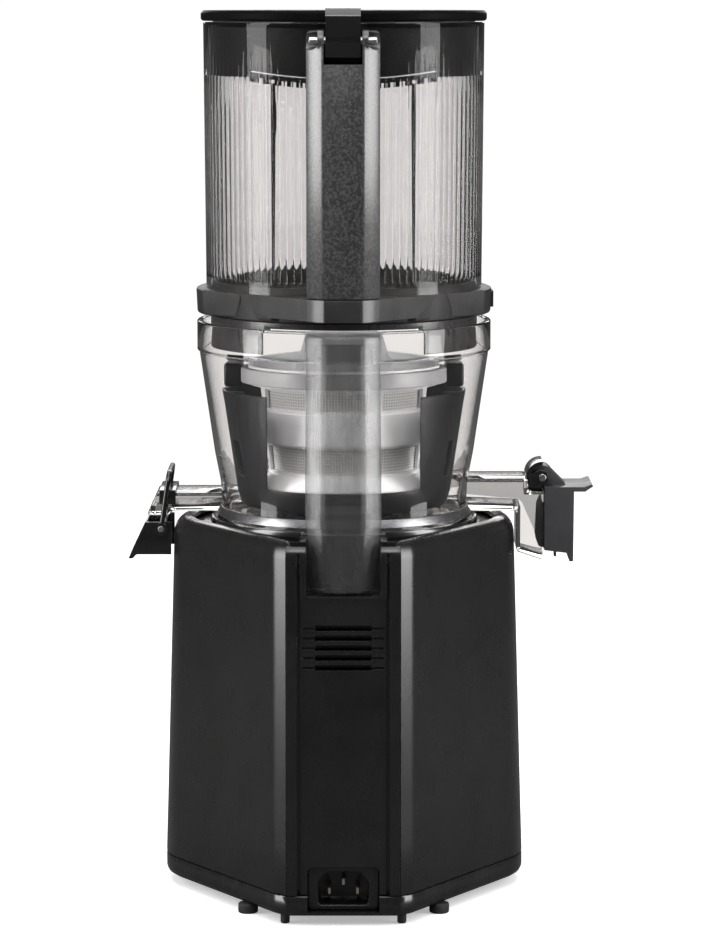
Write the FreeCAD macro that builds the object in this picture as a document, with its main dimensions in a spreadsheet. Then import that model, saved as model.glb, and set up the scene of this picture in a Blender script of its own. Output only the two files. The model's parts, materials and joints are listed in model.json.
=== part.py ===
import FreeCAD, Part
import math
import os
import Sketcher

# Vertical slow juicer: a drive unit with a mains inlet at its back, a clear juicing bowl with a juice
# spout and a pulp spout, a strainer with a rotating scraper and an auger, and a feed hopper with a
# hinged lid. Millimetres, +Z up, the front faces -Y, +X is the pulp side. The origin is on the drive
# axis at the level of the feet.

DIMENSIONS = [
    # drive unit
    ("foot_height", 5.0, "rubber feet, floor to tray"),
    ("foot_radius", 5.0, "rubber feet"),
    ("tray_top", 15.5, "seam between tray and shell"),
    ("shell_low", 15.8, "lower edge of the shell"),
    ("shoulder_low", 184.0, "where the shell's shoulder starts"),
    ("shell_top", 191.6, "top of the shell's shoulder"),
    ("shell_wall", 3.0, "shell and tray wall"),
    ("base_radius_low", 92.4, "front radius at the tray"),
    ("base_radius_high", 87.4, "front radius at the shoulder"),
    ("side_corner_y", 13.0, "where the rear facets leave the front round"),
    ("rear_corner_x", 34.5, "outer corner of the rear chamfer strip"),
    ("rear_corner_y", 94.5, "outer corner of the rear chamfer strip at the tray"),
    ("rear_flat_x", 28.4, "inner corner of the rear chamfer strip"),
    ("rear_flat_y", 99.8, "rear face at the tray"),
    ("rear_draft", 4.4, "how far the rear leans in up to the shoulder"),
    ("shoulder_inset", 6.0, "inset of the shoulder's top edge"),
    ("deck_inset", 10.0, "shell edge to deck edge"),
    ("deck_top", 188.0, "top of the deck"),
    ("seat_top", 190.0, "top of the round seat on the deck"),
    ("seat_radius", 68.6, "round seat under the bowl"),
    ("panel_recess", 2.6, "depth of the recess in the rear panel"),
    ("panel_recess_half", 22.0, "half width of the recess in the rear panel"),
    ("pocket_half", 19.6, "half width of the handle pocket"),
    ("pocket_floor", 165.0, "bottom of the handle pocket"),
    ("vent_pitch", 4.9, "pitch of the rear vent slots"),
    ("vent_height", 2.8, "height of a rear vent slot"),
    ("vent_low", 129.4, "middle of the lowest vent slot"),
    ("vent_half", 14.0, "half width of a vent slot"),
    ("vent_end_half", 20.3, "half width of the thinner groove that runs on from each slot"),
    ("inlet_z", 18.6, "middle of the mains inlet"),
    ("inlet_half", 17.6, "half width of the inlet housing"),
    # drive train
    ("output_module", 1.5, "module of the output stage and of the bowl gears"),
    ("motor_module", 0.8, "module of the motor stage"),
    ("counter_y", 42.0, "countershaft, in front of the drive axis"),
    ("motor_y", 6.0, "motor, in front of the drive axis"),
    ("shaft_radius", 6.0, "output shaft"),
    ("counter_radius", 4.0, "countershaft and motor shaft"),
    ("hex_corner", 5.5, "hexagon of the output shaft, centre to corner"),
    ("motor_radius", 36.0, "motor can"),
    ("knob_z", 92.0, "height of the control knob"),
    ("knob_radius", 16.0, "control knob"),
    ("knob_face", 102.0, "front of the control knob"),
    # bowl
    ("bowl_foot", 190.3, "underside of the bowl"),
    ("bowl_wall", 2.5, "bowl wall"),
    ("bowl_floor", 196.0, "inner floor of the bowl"),
    ("bowl_step", 277.8, "step under the rim"),
    ("bowl_rim", 293.0, "top of the bowl"),
    ("rim_radius", 75.0, "outer radius of the rim"),
    ("handle_half", 18.0, "half width of both handles"),
    ("handle_foot", 166.4, "lower end of the bowl handle"),
    ("handle_face", 96.6, "outer face of the bowl handle"),
    ("grip_inner", 87.4, "inner face of the bowl handle"),
    ("spout_y", 22.0, "centre line of both spouts, in front of the drive axis"),
    ("spout_half", 16.0, "half width of both spouts"),
    ("spout_wall", 2.0, "spout wall"),
    ("cap_hinge_x", 102.6, "juice cap hinge"),
    ("cap_hinge_z", 209.4, "juice cap hinge"),
    ("lever_x", 94.4, "pulp lever pivot"),
    ("lever_z", 184.0, "pulp lever pivot"),
    # strainer set
    ("gear_low", 200.0, "underside of the bowl gears"),
    ("gear_high", 206.0, "top of the bowl gears"),
    ("cage_top", 258.0, "top of the scraper cage"),
    ("cage_radius_top", 62.4, "scraper cage at the top"),
    ("cage_radius_low", 53.0, "scraper cage at the bottom"),
    ("auger_top", 300.0, "top of the auger"),
    # hopper and lid
    ("collar_low", 297.0, "underside of the hopper collar"),
    ("collar_high", 309.6, "top of the hopper collar"),
    ("collar_radius", 75.4, "front radius of the collar"),
    ("hopper_radius", 71.2, "hopper"),
    ("hopper_wall", 2.2, "hopper wall"),
    ("hopper_top", 443.6, "top of the hopper wall"),
    ("spine_face", 86.0, "outer face of the hopper handle"),
    ("spine_top", 440.0, "top of the hopper handle"),
    ("hinge_y", 80.4, "lid hinge"),
    ("hinge_z", 435.0, "lid hinge"),
    ("lid_low", 444.2, "underside of the lid plate"),
    ("lid_top", 449.6, "top of the lid plate"),
    ("lid_radius", 72.4, "lid plate"),
    ("tab_top", 450.8, "top of the lid's hinge tab"),
]

V = FreeCAD.Vector
doc = FreeCAD.newDocument("slow_juicer")
sheet = doc.addObject("Spreadsheet::Sheet", "dims")


class Size(float):
    """A number that remembers the sheet expression it comes from."""

    def __new__(cls, value, text):
        made = float.__new__(cls, value)
        made.text = text
        return made

    def __add__(self, other):
        return Size(float(self) + float(other), "(%s + %s)" % (self.text, text_of(other)))

    def __radd__(self, other):
        return Size(float(other) + float(self), "(%s + %s)" % (text_of(other), self.text))

    def __sub__(self, other):
        return Size(float(self) - float(other), "(%s - %s)" % (self.text, text_of(other)))

    def __rsub__(self, other):
        return Size(float(other) - float(self), "(%s - %s)" % (text_of(other), self.text))

    def __mul__(self, other):
        return Size(float(self) * float(other), "(%s * %s)" % (self.text, text_of(other)))

    __rmul__ = __mul__

    def __neg__(self):
        return Size(-float(self), "(0 - %s)" % self.text)


def text_of(value):
    """The expression text of a size or of a plain number."""
    return value.text if isinstance(value, Size) else repr(float(value))


class Dims:
    """The sheet's cells by name."""


for row, (alias, value, note) in enumerate(DIMENSIONS, start=1):
    sheet.set("A%d" % row, note)
    sheet.set("B%d" % row, str(value))
    sheet.setAlias("B%d" % row, alias)
    setattr(Dims, alias, Size(value, "dims." + alias))
doc.recompute()
D = Dims


# ------------------------------------------------------------------ building blocks
def bind(thing, prop, value):
    """Bind a property of an object to a size."""
    thing.setExpression(prop, text_of(value))


def place(thing, x=0.0, y=0.0, z=0.0):
    for axis, value in (("x", x), ("y", y), ("z", z)):
        bind(thing, ".Placement.Base." + axis, value)


def box(name, x0, x1, y0, y1, z0, z1):
    """A box between two corners."""
    thing = doc.addObject("Part::Box", name)
    bind(thing, "Length", x1 - x0)
    bind(thing, "Width", y1 - y0)
    bind(thing, "Height", z1 - z0)
    place(thing, x0, y0, z0)
    return thing


def rod(name, radius, low, high, x=0.0, y=0.0):
    """An upright cylinder."""
    thing = doc.addObject("Part::Cylinder", name)
    bind(thing, "Radius", radius)
    bind(thing, "Height", high - low)
    place(thing, x, y, low)
    return thing


def rod_x(name, radius, x0, x1, y, z):
    """A cylinder along X."""
    thing = doc.addObject("Part::Cylinder", name)
    bind(thing, "Radius", radius)
    bind(thing, "Height", x1 - x0)
    thing.Placement = FreeCAD.Placement(V(0, 0, 0), FreeCAD.Rotation(V(0, 1, 0), 90))
    place(thing, x0, y, z)
    return thing


def rod_y(name, radius, y0, y1, x, z):
    """A cylinder along Y."""
    thing = doc.addObject("Part::Cylinder", name)
    bind(thing, "Radius", radius)
    bind(thing, "Height", y1 - y0)
    thing.Placement = FreeCAD.Placement(V(0, 0, 0), FreeCAD.Rotation(V(1, 0, 0), -90))
    place(thing, x, y0, z)
    return thing


def fuse(name, things):
    made = doc.addObject("Part::MultiFuse", name)
    made.Shapes = things
    made.Refine = True
    return made


def cut(name, base, tools):
    made = doc.addObject("Part::Cut", name)
    made.Base = base
    made.Tool = tools[0] if len(tools) == 1 else fuse(name + "_tools", tools)
    made.Refine = True
    return made


def common(name, first, second):
    made = doc.addObject("Part::Common", name)
    made.Base = first
    made.Tool = second
    return made


def group(name, things):
    """Separate solids that share one node."""
    made = doc.addObject("Part::Compound", name)
    made.Links = things
    return made


def body(name):
    return doc.addObject("PartDesign::Body", name)


def origin_plane(owner, role):
    return [item for item in owner.Origin.OriginFeatures if item.Role == role][0]


def sketch_on(owner, role, offset=0.0):
    """An empty sketch on one of a body's origin planes."""
    made = owner.newObject("Sketcher::SketchObject", owner.Name + "_sketch")
    made.AttachmentSupport = [(origin_plane(owner, role), "")]
    made.MapMode = "FlatFace"
    bind(made, ".AttachmentOffset.Base.z", offset)
    return made


def pin_point(sketch, edge, end, x=None, y=None):
    """Hold one end of an edge at sheet sizes."""
    for kind, value in (("DistanceX", x), ("DistanceY", y)):
        if value is None:
            continue
        index = sketch.addConstraint(Sketcher.Constraint(kind, -1, 1, edge, end, float(value)))
        if isinstance(value, Size):
            sketch.setExpression("Constraints[%d]" % index, value.text)


def polygon(owner, role, points, offset=0.0):
    """A closed sketch of straight edges through points."""
    sketch = sketch_on(owner, role, offset)
    count = len(points)
    for index in range(count):
        start, end = points[index], points[(index + 1) % count]
        sketch.addGeometry(Part.LineSegment(V(float(start[0]), float(start[1]), 0),
                                            V(float(end[0]), float(end[1]), 0)))
    for index in range(count):
        sketch.addConstraint(Sketcher.Constraint("Coincident", index, 2, (index + 1) % count, 1))
        pin_point(sketch, index, 1, *points[index])
    return sketch


def turned(name, profile):
    """A body of revolution about Z from (radius, height) points."""
    owner = body(name)
    made = owner.newObject("PartDesign::Revolution", name + "_turn")
    made.Profile = polygon(owner, "XZ_Plane", profile)
    made.ReferenceAxis = (made.Profile[0], ["V_Axis"])
    made.Angle = 360.0
    return owner


def ring(name, outer, inner, low, high, x=0.0, y=0.0):
    owner = turned(name, [(inner, low), (outer, low), (outer, high), (inner, high)])
    place(owner, x, y)
    return owner


def prism_y(name, points, y0, y1):
    """A polygon in the XZ plane, given as (x, z), drawn out from y0 to y1."""
    owner = body(name)
    made = owner.newObject("PartDesign::Pad", name + "_pad")
    made.Profile = polygon(owner, "XZ_Plane", points, -y0)
    bind(made, "Length", y1 - y0)
    made.Reversed = True
    return owner


def prism_x(name, points, x0, x1):
    """A polygon in the YZ plane, given as (y, z), drawn out from x0 to x1."""
    owner = body(name)
    made = owner.newObject("PartDesign::Pad", name + "_pad")
    made.Profile = polygon(owner, "YZ_Plane", points, x0)
    bind(made, "Length", x1 - x0)
    return owner


def plan_sketch(owner, height, radius, side_y, corners):
    """A plan with a round front about Z and straight rear edges, the same on both sides."""
    sketch = sketch_on(owner, "XY_Plane", height)
    start = math.asin(float(side_y) / float(radius))
    front = Part.ArcOfCircle(Part.Circle(V(0, 0, 0), V(0, 0, 1), float(radius)),
                             math.pi - start, 2 * math.pi + start)
    sketch.addGeometry(front)
    side = V(float(radius) * math.cos(start), float(side_y), 0)
    right = [(side.x, side.y)] + list(corners)
    path = right + [(-x, y) for x, y in reversed(right)]
    for first, second in zip(path, path[1:]):
        sketch.addGeometry(Part.LineSegment(V(float(first[0]), float(first[1]), 0),
                                            V(float(second[0]), float(second[1]), 0)))
    last = len(path) - 1
    sketch.addConstraint(Sketcher.Constraint("Coincident", 0, 3, -1, 1))
    index = sketch.addConstraint(Sketcher.Constraint("Radius", 0, float(radius)))
    if isinstance(radius, Size):
        sketch.setExpression("Constraints[%d]" % index, radius.text)
    sketch.addConstraint(Sketcher.Constraint("Coincident", 0, 2, 1, 1))
    sketch.addConstraint(Sketcher.Constraint("Coincident", last, 2, 0, 1))
    pin_point(sketch, 0, 2, None, side_y)
    pin_point(sketch, 0, 1, None, side_y)
    for edge in range(1, last):
        sketch.addConstraint(Sketcher.Constraint("Coincident", edge, 2, edge + 1, 1))
        pin_point(sketch, edge, 2, *path[edge])
    return sketch


def lofted(name, sections):
    """A body lofted through plan sections: (height, radius, side_y, corners)."""
    owner = body(name)
    sketches = [plan_sketch(owner, *section) for section in sections]
    made = owner.newObject("PartDesign::AdditiveLoft", name + "_loft")
    made.Profile = sketches[0]
    made.Sections = sketches[1:]
    made.Ruled = True
    return owner


def feature(name, shape):
    """A sub-part whose shape comes from Part's own functions."""
    made = doc.addObject("Part::Feature", name)
    made.Shape = shape
    return made


def gear_outline(module, teeth, inward=False):
    """A closed wire of involute teeth with stub height and running clearance."""
    pressure = math.radians(20.0)
    pitch = module * teeth / 2.0
    base = pitch * math.cos(pressure)
    tip = pitch + 0.8 * module
    root = pitch - 1.0 * module
    if inward:
        tip, root = pitch + 1.0 * module, pitch - 0.8 * module
    slack = 0.10 * module
    half = math.pi / (2 * teeth) - slack / pitch
    if inward:
        half = math.pi / (2 * teeth) + slack / pitch
    involute = math.tan(pressure) - pressure

    def flank(radius):
        if radius <= base:
            return half + involute
        angle = math.acos(base / radius)
        return half + involute - (math.tan(angle) - angle)

    steps = 5
    radii = [root + (tip - root) * step / steps for step in range(steps + 1)]
    points = []
    for tooth in range(teeth):
        middle = 2 * math.pi * tooth / teeth
        rising = [(radius, middle - flank(radius)) for radius in radii]
        falling = [(radius, middle + flank(radius)) for radius in reversed(radii)]
        points += [V(r * math.cos(a), r * math.sin(a), 0) for r, a in rising + falling]
    return Part.makePolygon(points + points[:1])


def gear_shape(module, teeth, low, high, turn=0.0):
    """A spur gear blank with teeth, turned by an angle in degrees."""
    shape = Part.Face(gear_outline(module, teeth)).extrude(V(0, 0, float(high - low)))
    shape.Placement = FreeCAD.Placement(V(0, 0, float(low)), FreeCAD.Rotation(V(0, 0, 1), turn))
    return shape


# ------------------------------------------------------------------ drive unit
def base_plan(height, share, inset=0.0):
    """The drive unit's plan at a height. share goes from 0 at the tray to 1 at the shoulder."""
    radius = D.base_radius_low + (D.base_radius_high - D.base_radius_low) * share - inset
    lean = D.rear_draft * share + inset
    corners = [(D.rear_corner_x - inset * 0.4, D.rear_corner_y - lean),
               (D.rear_flat_x - inset * 0.2, D.rear_flat_y - lean)]
    return (height, radius, D.side_corner_y - inset * 0.3, corners)


SCREW_PLACES = [(70.0, -45.0), (-70.0, -45.0), (45.0, 66.0), (-45.0, 66.0)]
VENT_COUNT = 5


def make_base_shell():
    outer = lofted("shell_outer", [base_plan(D.shell_low, 0.0), base_plan(D.shoulder_low, 1.0),
                                   base_plan(D.shoulder_low + 5.4, 1.0, 2.2),
                                   base_plan(D.shell_top, 1.0, D.shoulder_inset)])
    inner = lofted("shell_inner", [base_plan(D.shell_low - 1.0, 0.0, D.shell_wall),
                                   base_plan(D.shoulder_low + 1.0, 1.0, D.shell_wall)])
    opening = lofted("shell_opening", [base_plan(D.shoulder_low - 1.0, 1.0, D.deck_inset),
                                       base_plan(D.shell_top + 1.0, 1.0, D.deck_inset)])
    channel = box("shell_channel", -D.rear_flat_x, D.rear_flat_x, 74.0, 110.0, 0.0, D.shell_top + 1.0)
    casing = cut("shell_casing", outer, [inner, opening, channel])
    posts = [rod("shell_post", 7.0 if y < 0 else 5.0, D.shell_low, 46.0, x, y) for x, y in SCREW_PLACES]
    dial = rod_y("shell_dial", D.knob_radius + 3.0, -91.6, -84.0, 0.0, D.knob_z)
    holes = [rod("shell_pilot", 1.5, 10.0, 40.0, x, y) for x, y in SCREW_PLACES]
    stem = rod_y("shell_stem_hole", 4.3, -94.0, -80.0, 0.0, D.knob_z)
    return cut("base_shell", fuse("shell_body", [casing, dial] + posts), holes + [stem])


def make_base_tray():
    outer = lofted("tray_outer", [base_plan(D.foot_height, 0.0, 3.0), base_plan(D.foot_height + 3.0, 0.0),
                                  base_plan(D.tray_top, 0.0)])
    inner = lofted("tray_inner", [base_plan(D.foot_height + 2.5, 0.0, 4.0),
                                  base_plan(D.tray_top + 1.0, 0.0, 4.0)])
    pan = cut("tray_pan", outer, [inner])
    posts = [rod("tray_post", 6.0, D.foot_height + 1.0, D.tray_top, x, y) for x, y in SCREW_PLACES]
    holes = [rod("tray_hole", 1.6, 0.0, 20.0, x, y) for x, y in SCREW_PLACES]
    sinks = [rod("tray_sink", 3.2, 0.0, D.foot_height + 2.2, x, y) for x, y in SCREW_PLACES]
    notch = box("tray_notch", -D.inlet_half - 0.2, D.inlet_half + 0.2, 70.0, 110.0, 7.4, 20.0)
    grille = [box("tray_slot", -24.0, 24.0, y, y + 2.5, 0.0, 9.0) for y in range(-30, 25, 6)]
    return cut("base_tray", fuse("tray_body", [pan] + posts), holes + sinks + [notch] + grille)


def make_feet():
    pads = [rod("foot_pad", D.foot_radius, 0.0, D.foot_height, x, y)
            for x in (-48.0, 48.0) for y in (-58.0, 70.0)]
    pegs = [rod("foot_peg", 2.3, 0.0, D.foot_height, x, 91.0) for x in (-29.0, 29.0)]
    return group("feet", pads + pegs)


def make_tray_screws():
    screws = []
    for x, y in SCREW_PLACES:
        head = rod("screw_head", 3.0, D.foot_height + 0.2, D.foot_height + 2.2, x, y)
        shank = rod("screw_shank", 1.45, D.foot_height + 2.0, 34.0, x, y)
        slot = box("screw_slot", x - 2.2, x + 2.2, y - 0.4, y + 0.4, D.foot_height, D.foot_height + 1.2)
        screws.append(cut("tray_screw", fuse("screw_blank", [head, shank]), [slot]))
    return group("tray_screws", screws)


def make_top_deck():
    plate = lofted("deck_plate", [base_plan(D.deck_top - 3.6, 1.0, D.deck_inset + 0.5),
                                  base_plan(D.deck_top, 1.0, D.deck_inset + 0.5)])
    seat = rod("deck_seat", D.seat_radius, D.deck_top - 1.0, D.seat_top)
    dish = ring("deck_dish", 58.0, 20.0, D.seat_top - 3.0, D.seat_top + 1.0)
    bore = rod("deck_bore", 10.0, 170.0, 200.0)
    pocket = box("deck_pocket", -D.pocket_half - 2.2, D.pocket_half + 2.2, 66.0, 110.0, 170.0, 200.0)
    rear = box("deck_rear", -40.0, 40.0, 86.0, 110.0, 170.0, 200.0)
    return cut("top_deck", fuse("deck_body", [plate, seat]), [dish, bore, pocket, rear])


def make_rear_panel():
    draft = D.rear_draft
    rise = (D.shell_low, D.shell_top - 1.4)
    side = [(86.2, rise[0]), (D.rear_flat_y, rise[0]), (D.rear_flat_y - draft, rise[1] - 3.0),
            (D.rear_flat_y - draft - 3.0, rise[1]), (86.2, rise[1])]
    block = prism_x("panel_block", side, -D.rear_flat_x + 0.2, D.rear_flat_x - 0.2)
    well = box("panel_well", -D.pocket_half - 2.0, D.pocket_half + 2.0, 66.2, 90.0,
               D.pocket_floor - 2.2, D.shell_top - 1.4)
    recess = prism_x("panel_recess_tool",
                     [(D.rear_flat_y - D.panel_recess, 0.0), (120.0, 0.0), (120.0, D.pocket_floor - 1.0),
                      (D.rear_flat_y - D.panel_recess - draft * 0.9, D.pocket_floor - 1.0)],
                     -D.panel_recess_half, D.panel_recess_half)
    pocket = box("panel_pocket", -D.pocket_half, D.pocket_half, 68.4, 110.0, D.pocket_floor, 200.0)
    hollow = box("panel_hollow", -25.0, 25.0, 80.0, 93.0, 32.0, D.pocket_floor - 3.0)
    vents, ends = [], []
    for step in range(VENT_COUNT):
        middle = D.vent_low + D.vent_pitch * step
        vents.append(box("panel_vent", -D.vent_half, D.vent_half, 80.0, 110.0,
                         middle - D.vent_height * 0.5, middle + D.vent_height * 0.5))
        ends.append(box("panel_vent_end", -D.vent_end_half, D.vent_end_half, 94.6, 110.0,
                        middle - D.vent_height * 0.25, middle + D.vent_height * 0.25))
    inlet = box("panel_inlet", -D.inlet_half - 0.2, D.inlet_half + 0.2, 70.0, 110.0, 0.0, D.inlet_z + 11.2)
    return cut("rear_panel", fuse("panel_body", [block, well]),
               [recess, pocket, hollow, inlet] + vents + ends)


def make_inlet_housing():
    low, high = D.inlet_z - 10.8, D.inlet_z + 10.8
    block = box("inlet_block", -D.inlet_half, D.inlet_half, 74.0, 95.0, low, high)
    half, top, bevel = 12.5, 8.5, 4.6
    outline = [(-half, D.inlet_z - top), (half, D.inlet_z - top), (half, D.inlet_z + top - bevel),
               (half - bevel, D.inlet_z + top), (-half + bevel, D.inlet_z + top),
               (-half, D.inlet_z + top - bevel)]
    cavity = prism_y("inlet_cavity", outline, 79.5, 100.0)
    return cut("inlet_housing", block, [cavity])


def make_inlet_pins():
    places = [(-7.0, D.inlet_z - 2.0), (7.0, D.inlet_z - 2.0), (0.0, D.inlet_z + 2.6)]
    pins = [box("inlet_pin", x - 1.0, x + 1.0, 79.5, 92.5, z - 2.0, z + 2.0) for x, z in places]
    return group("inlet_pins", pins)


def make_control_knob():
    dial = rod_y("knob_dial", D.knob_radius, -D.knob_face, -91.9, 0.0, D.knob_z)
    stem = rod_y("knob_stem", 4.0, -92.5, -72.0, 0.0, D.knob_z)
    hollows = [rod_y("knob_side", 14.0, -D.knob_face - 1.0, -95.0, x, D.knob_z) for x in (-18.0, 18.0)]
    return fuse("control_knob", [cut("knob_grip", dial, hollows), stem])


def make_knob_switch():
    case = box("switch_case", -13.0, 13.0, -82.0, -64.0, D.knob_z - 13.0, D.knob_z + 13.0)
    bore = rod_y("switch_bore", 4.3, -84.0, -70.0, 0.0, D.knob_z)
    return cut("knob_switch", case, [bore])


def make_control_board():
    board = box("board_plate", -34.0, 34.0, -63.6, -62.0, 46.0, 112.0)
    parts = [box("board_part", x, x + 9.0, -62.4, -53.0, z, z + 14.0)
             for x, z in ((-28.0, 52.0), (-12.0, 60.0), (14.0, 50.0), (-24.0, 88.0), (12.0, 86.0))]
    return fuse("control_board", [board] + parts)


# ------------------------------------------------------------------ drive train
MOTOR_LOW, MOTOR_HIGH = 42.0, 112.0
STAGE_LOW, STAGE_HIGH = 137.0, 145.0
OUTPUT_LOW, OUTPUT_HIGH = 149.0, 161.0
MOTOR_TEETH, STAGE_TEETH = 15, 75
PINION_TEETH, OUTPUT_TEETH = 14, 42
SUN_TEETH, IDLER_TEETH, RING_TEETH = 20, 20, 60
HOUSING_SCREWS = [(41.0, 0.0), (-41.0, 0.0), (39.0, -42.0), (-39.0, -42.0), (20.0, 36.0), (-20.0, 36.0)]
IDLER_REACH = 30.0


def make_motor_can():
    r = D.motor_radius
    can = turned("motor_can", [(8.0, MOTOR_LOW), (r, MOTOR_LOW), (r, MOTOR_HIGH), (8.0, MOTOR_HIGH),
                               (8.0, MOTOR_HIGH - 6.0), (r - 2.0, MOTOR_HIGH - 6.0),
                               (r - 2.0, MOTOR_LOW + 6.0), (8.0, MOTOR_LOW + 6.0)])
    place(can, 0.0, -D.motor_y)
    return can


def make_motor_stator():
    low, high = MOTOR_LOW + 14.0, MOTOR_HIGH - 14.0
    stack = ring("stator_stack", D.motor_radius - 2.2, 20.0, low, high, 0.0, -D.motor_y)
    coils = ring("stator_coils", 31.0, 22.0, low - 6.0, high + 6.0, 0.0, -D.motor_y)
    return fuse("motor_stator", [stack, coils])


def make_motor_rotor():
    low, high = MOTOR_LOW + 14.0, MOTOR_HIGH - 14.0
    core, axle, end = 19.4, D.counter_radius, STAGE_HIGH + 0.6
    rotor = turned("motor_rotor", [(0.0, 26.0), (axle, 26.0), (axle, low), (core, low), (core, high),
                                   (axle, high), (axle, end), (0.0, end)])
    place(rotor, 0.0, -D.motor_y)
    return rotor


def make_motor_bearings():
    bearings = [ring("motor_bearing", 8.0, D.counter_radius, z, z + 5.0, 0.0, -D.motor_y)
                for z in (MOTOR_LOW + 0.4, MOTOR_HIGH - 5.6)]
    return group("motor_bearings", bearings)


def make_cooling_fan():
    hub = rod("fan_hub", 8.0, 27.0, 37.0, 0.0, -D.motor_y)
    disc = rod("fan_disc", 32.0, 36.0, 37.4, 0.0, -D.motor_y)
    blades = []
    for step in range(9):
        blade = box("fan_blade", 6.0, 32.0, -0.8, 0.8, 28.0, 36.4)
        blade.Placement = FreeCAD.Placement(V(0, 0, 0), FreeCAD.Rotation(V(0, 0, 1), 40.0 * step))
        angle = math.radians(40.0 * step)
        place(blade, 6.0 * math.cos(angle), 6.0 * math.sin(angle) - D.motor_y, 28.0)
        blades.append(blade)
    bore = rod("fan_bore", D.counter_radius, 20.0, 40.0, 0.0, -D.motor_y)
    return cut("cooling_fan", fuse("fan_body", [hub, disc] + blades), [bore])


def make_motor_pinion():
    teeth = gear_shape(float(D.motor_module), MOTOR_TEETH, STAGE_LOW - 1.0, STAGE_HIGH + 0.5,
                       -90.0 + 180.0 / MOTOR_TEETH)
    teeth = teeth.cut(Part.makeCylinder(float(D.counter_radius), 60, V(0, 0, 110)))
    made = feature("motor_pinion", teeth)
    made.Placement.Base = V(0, -float(D.motor_y), 0)
    return made


def make_stage_gear():
    # A tooth gap of each gear faces the tooth of its partner along the line of centres.
    big = gear_shape(float(D.motor_module), STAGE_TEETH, STAGE_LOW, STAGE_HIGH, 90.0)
    small = gear_shape(float(D.output_module), PINION_TEETH, STAGE_HIGH - 0.5, OUTPUT_HIGH + 0.5,
                       90.0 + 180.0 / PINION_TEETH)
    shape = big.fuse(small).cut(Part.makeCylinder(float(D.counter_radius), 60, V(0, 0, 120)))
    made = feature("stage_gear", shape.removeSplitter())
    made.Placement.Base = V(0, -float(D.counter_y), 0)
    return made


def make_output_gear():
    teeth = gear_shape(float(D.output_module), OUTPUT_TEETH, OUTPUT_LOW, OUTPUT_HIGH, -90.0)
    teeth = teeth.cut(Part.makeCylinder(float(D.shaft_radius), 60, V(0, 0, 120)))
    for step in range(6):
        angle = math.radians(60.0 * step)
        teeth = teeth.cut(Part.makeCylinder(5.0, 60, V(19 * math.cos(angle), 19 * math.sin(angle), 120)))
    return feature("output_gear", teeth)


def make_drive_shaft():
    r = D.shaft_radius
    shaft = turned("shaft_bar", [(0.0, OUTPUT_LOW - 0.6), (r, OUTPUT_LOW - 0.6), (r, 214.6), (0.0, 214.6)])
    hexagon = doc.addObject("Part::Prism", "shaft_hexagon")
    hexagon.Polygon = 6
    bind(hexagon, "Circumradius", D.hex_corner)
    bind(hexagon, "Height", 18.0)
    place(hexagon, 0.0, 0.0, 214.0)
    tip = doc.addObject("Part::Cone", "shaft_tip")
    tip.Radius1, tip.Radius2, tip.Height = 6.4, 3.9, 2.5
    place(tip, 0.0, 0.0, 229.5)
    form = fuse("shaft_top_form", [rod("shaft_top_rod", 6.4, 214.0, 229.5), tip])
    top = common("shaft_top", hexagon, form)
    return fuse("drive_shaft", [shaft, top])


def make_gear_housing():
    low, high, roof = 131.2, 174.0, 170.0
    outer = [rod("housing_round", 38.0, low, high), rod("housing_front", 36.0, low, high, 0.0, -D.counter_y),
             box("housing_middle", -36.0, 36.0, -D.counter_y, 0.0, low, high)]
    inner = [rod("housing_bore", 35.0, low - 1.0, roof),
             rod("housing_pit", 33.0, low - 1.0, roof, 0.0, -D.counter_y),
             box("housing_gap", -33.0, 33.0, -D.counter_y, 0.0, low - 1.0, roof)]
    ears = [rod("housing_ear", 5.0, low, 150.0, x, y) for x, y in HOUSING_SCREWS]
    shell = cut("housing_shell", fuse("housing_outer", outer + ears), inner)
    neck = ring("housing_neck", 18.0, 14.0, 163.0, 184.2)
    boss = ring("housing_boss", 11.5, 8.0, 164.0, 171.0, 0.0, -D.counter_y)
    bores = [rod("housing_neck_bore", 14.0, 160.0, 190.0)]
    bores += [rod("housing_screw_bore", 1.5, 130.0, 146.0, x, y) for x, y in HOUSING_SCREWS]
    return cut("gear_housing", fuse("housing_body", [shell, neck, boss]), bores)


def make_motor_bracket():
    low, high = 128.0, 131.0
    outer = [rod("bracket_round", 38.0, low, high), rod("bracket_front", 36.0, low, high, 0.0, -D.counter_y),
             box("bracket_middle", -36.0, 36.0, -D.counter_y, 0.0, low, high)]
    ears = [rod("bracket_ear", 5.0, low, high, x, y) for x, y in HOUSING_SCREWS]
    base = ring("bracket_base", D.motor_radius, 12.0, MOTOR_HIGH + 0.2, MOTOR_HIGH + 3.0, 0.0, -D.motor_y)
    columns = [rod("bracket_column", 4.0, MOTOR_HIGH + 1.0, 129.0, x, y - D.motor_y)
               for x in (-20.0, 20.0) for y in (-20.0, 20.0)]
    cup = ring("bracket_cup", 11.5, 8.0, 130.0, 136.0, 0.0, -D.counter_y)
    bores = [rod("bracket_bore", 8.0, 120.0, 135.0, 0.0, -D.motor_y)]
    bores += [rod("bracket_screw_bore", 1.6, 126.0, 133.0, x, y) for x, y in HOUSING_SCREWS]
    return cut("motor_bracket", fuse("bracket_body", outer + ears + [base, cup] + columns), bores)


def make_housing_screws():
    screws = []
    for x, y in HOUSING_SCREWS:
        head = rod("housing_screw_head", 2.8, 125.6, 128.0, x, y)
        shank = rod("housing_screw_shank", 1.45, 127.0, 145.0, x, y)
        screws.append(fuse("housing_screw", [head, shank]))
    return group("housing_screws", screws)


def make_counter_shaft():
    return rod("counter_shaft", D.counter_radius, 131.3, 169.7, 0.0, -D.counter_y)


def make_counter_bearings():
    bearings = [ring("counter_bearing", 8.0, D.counter_radius, z, z + 4.8, 0.0, -D.counter_y)
                for z in (131.2, 165.0)]
    return group("counter_bearings", bearings)


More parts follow.
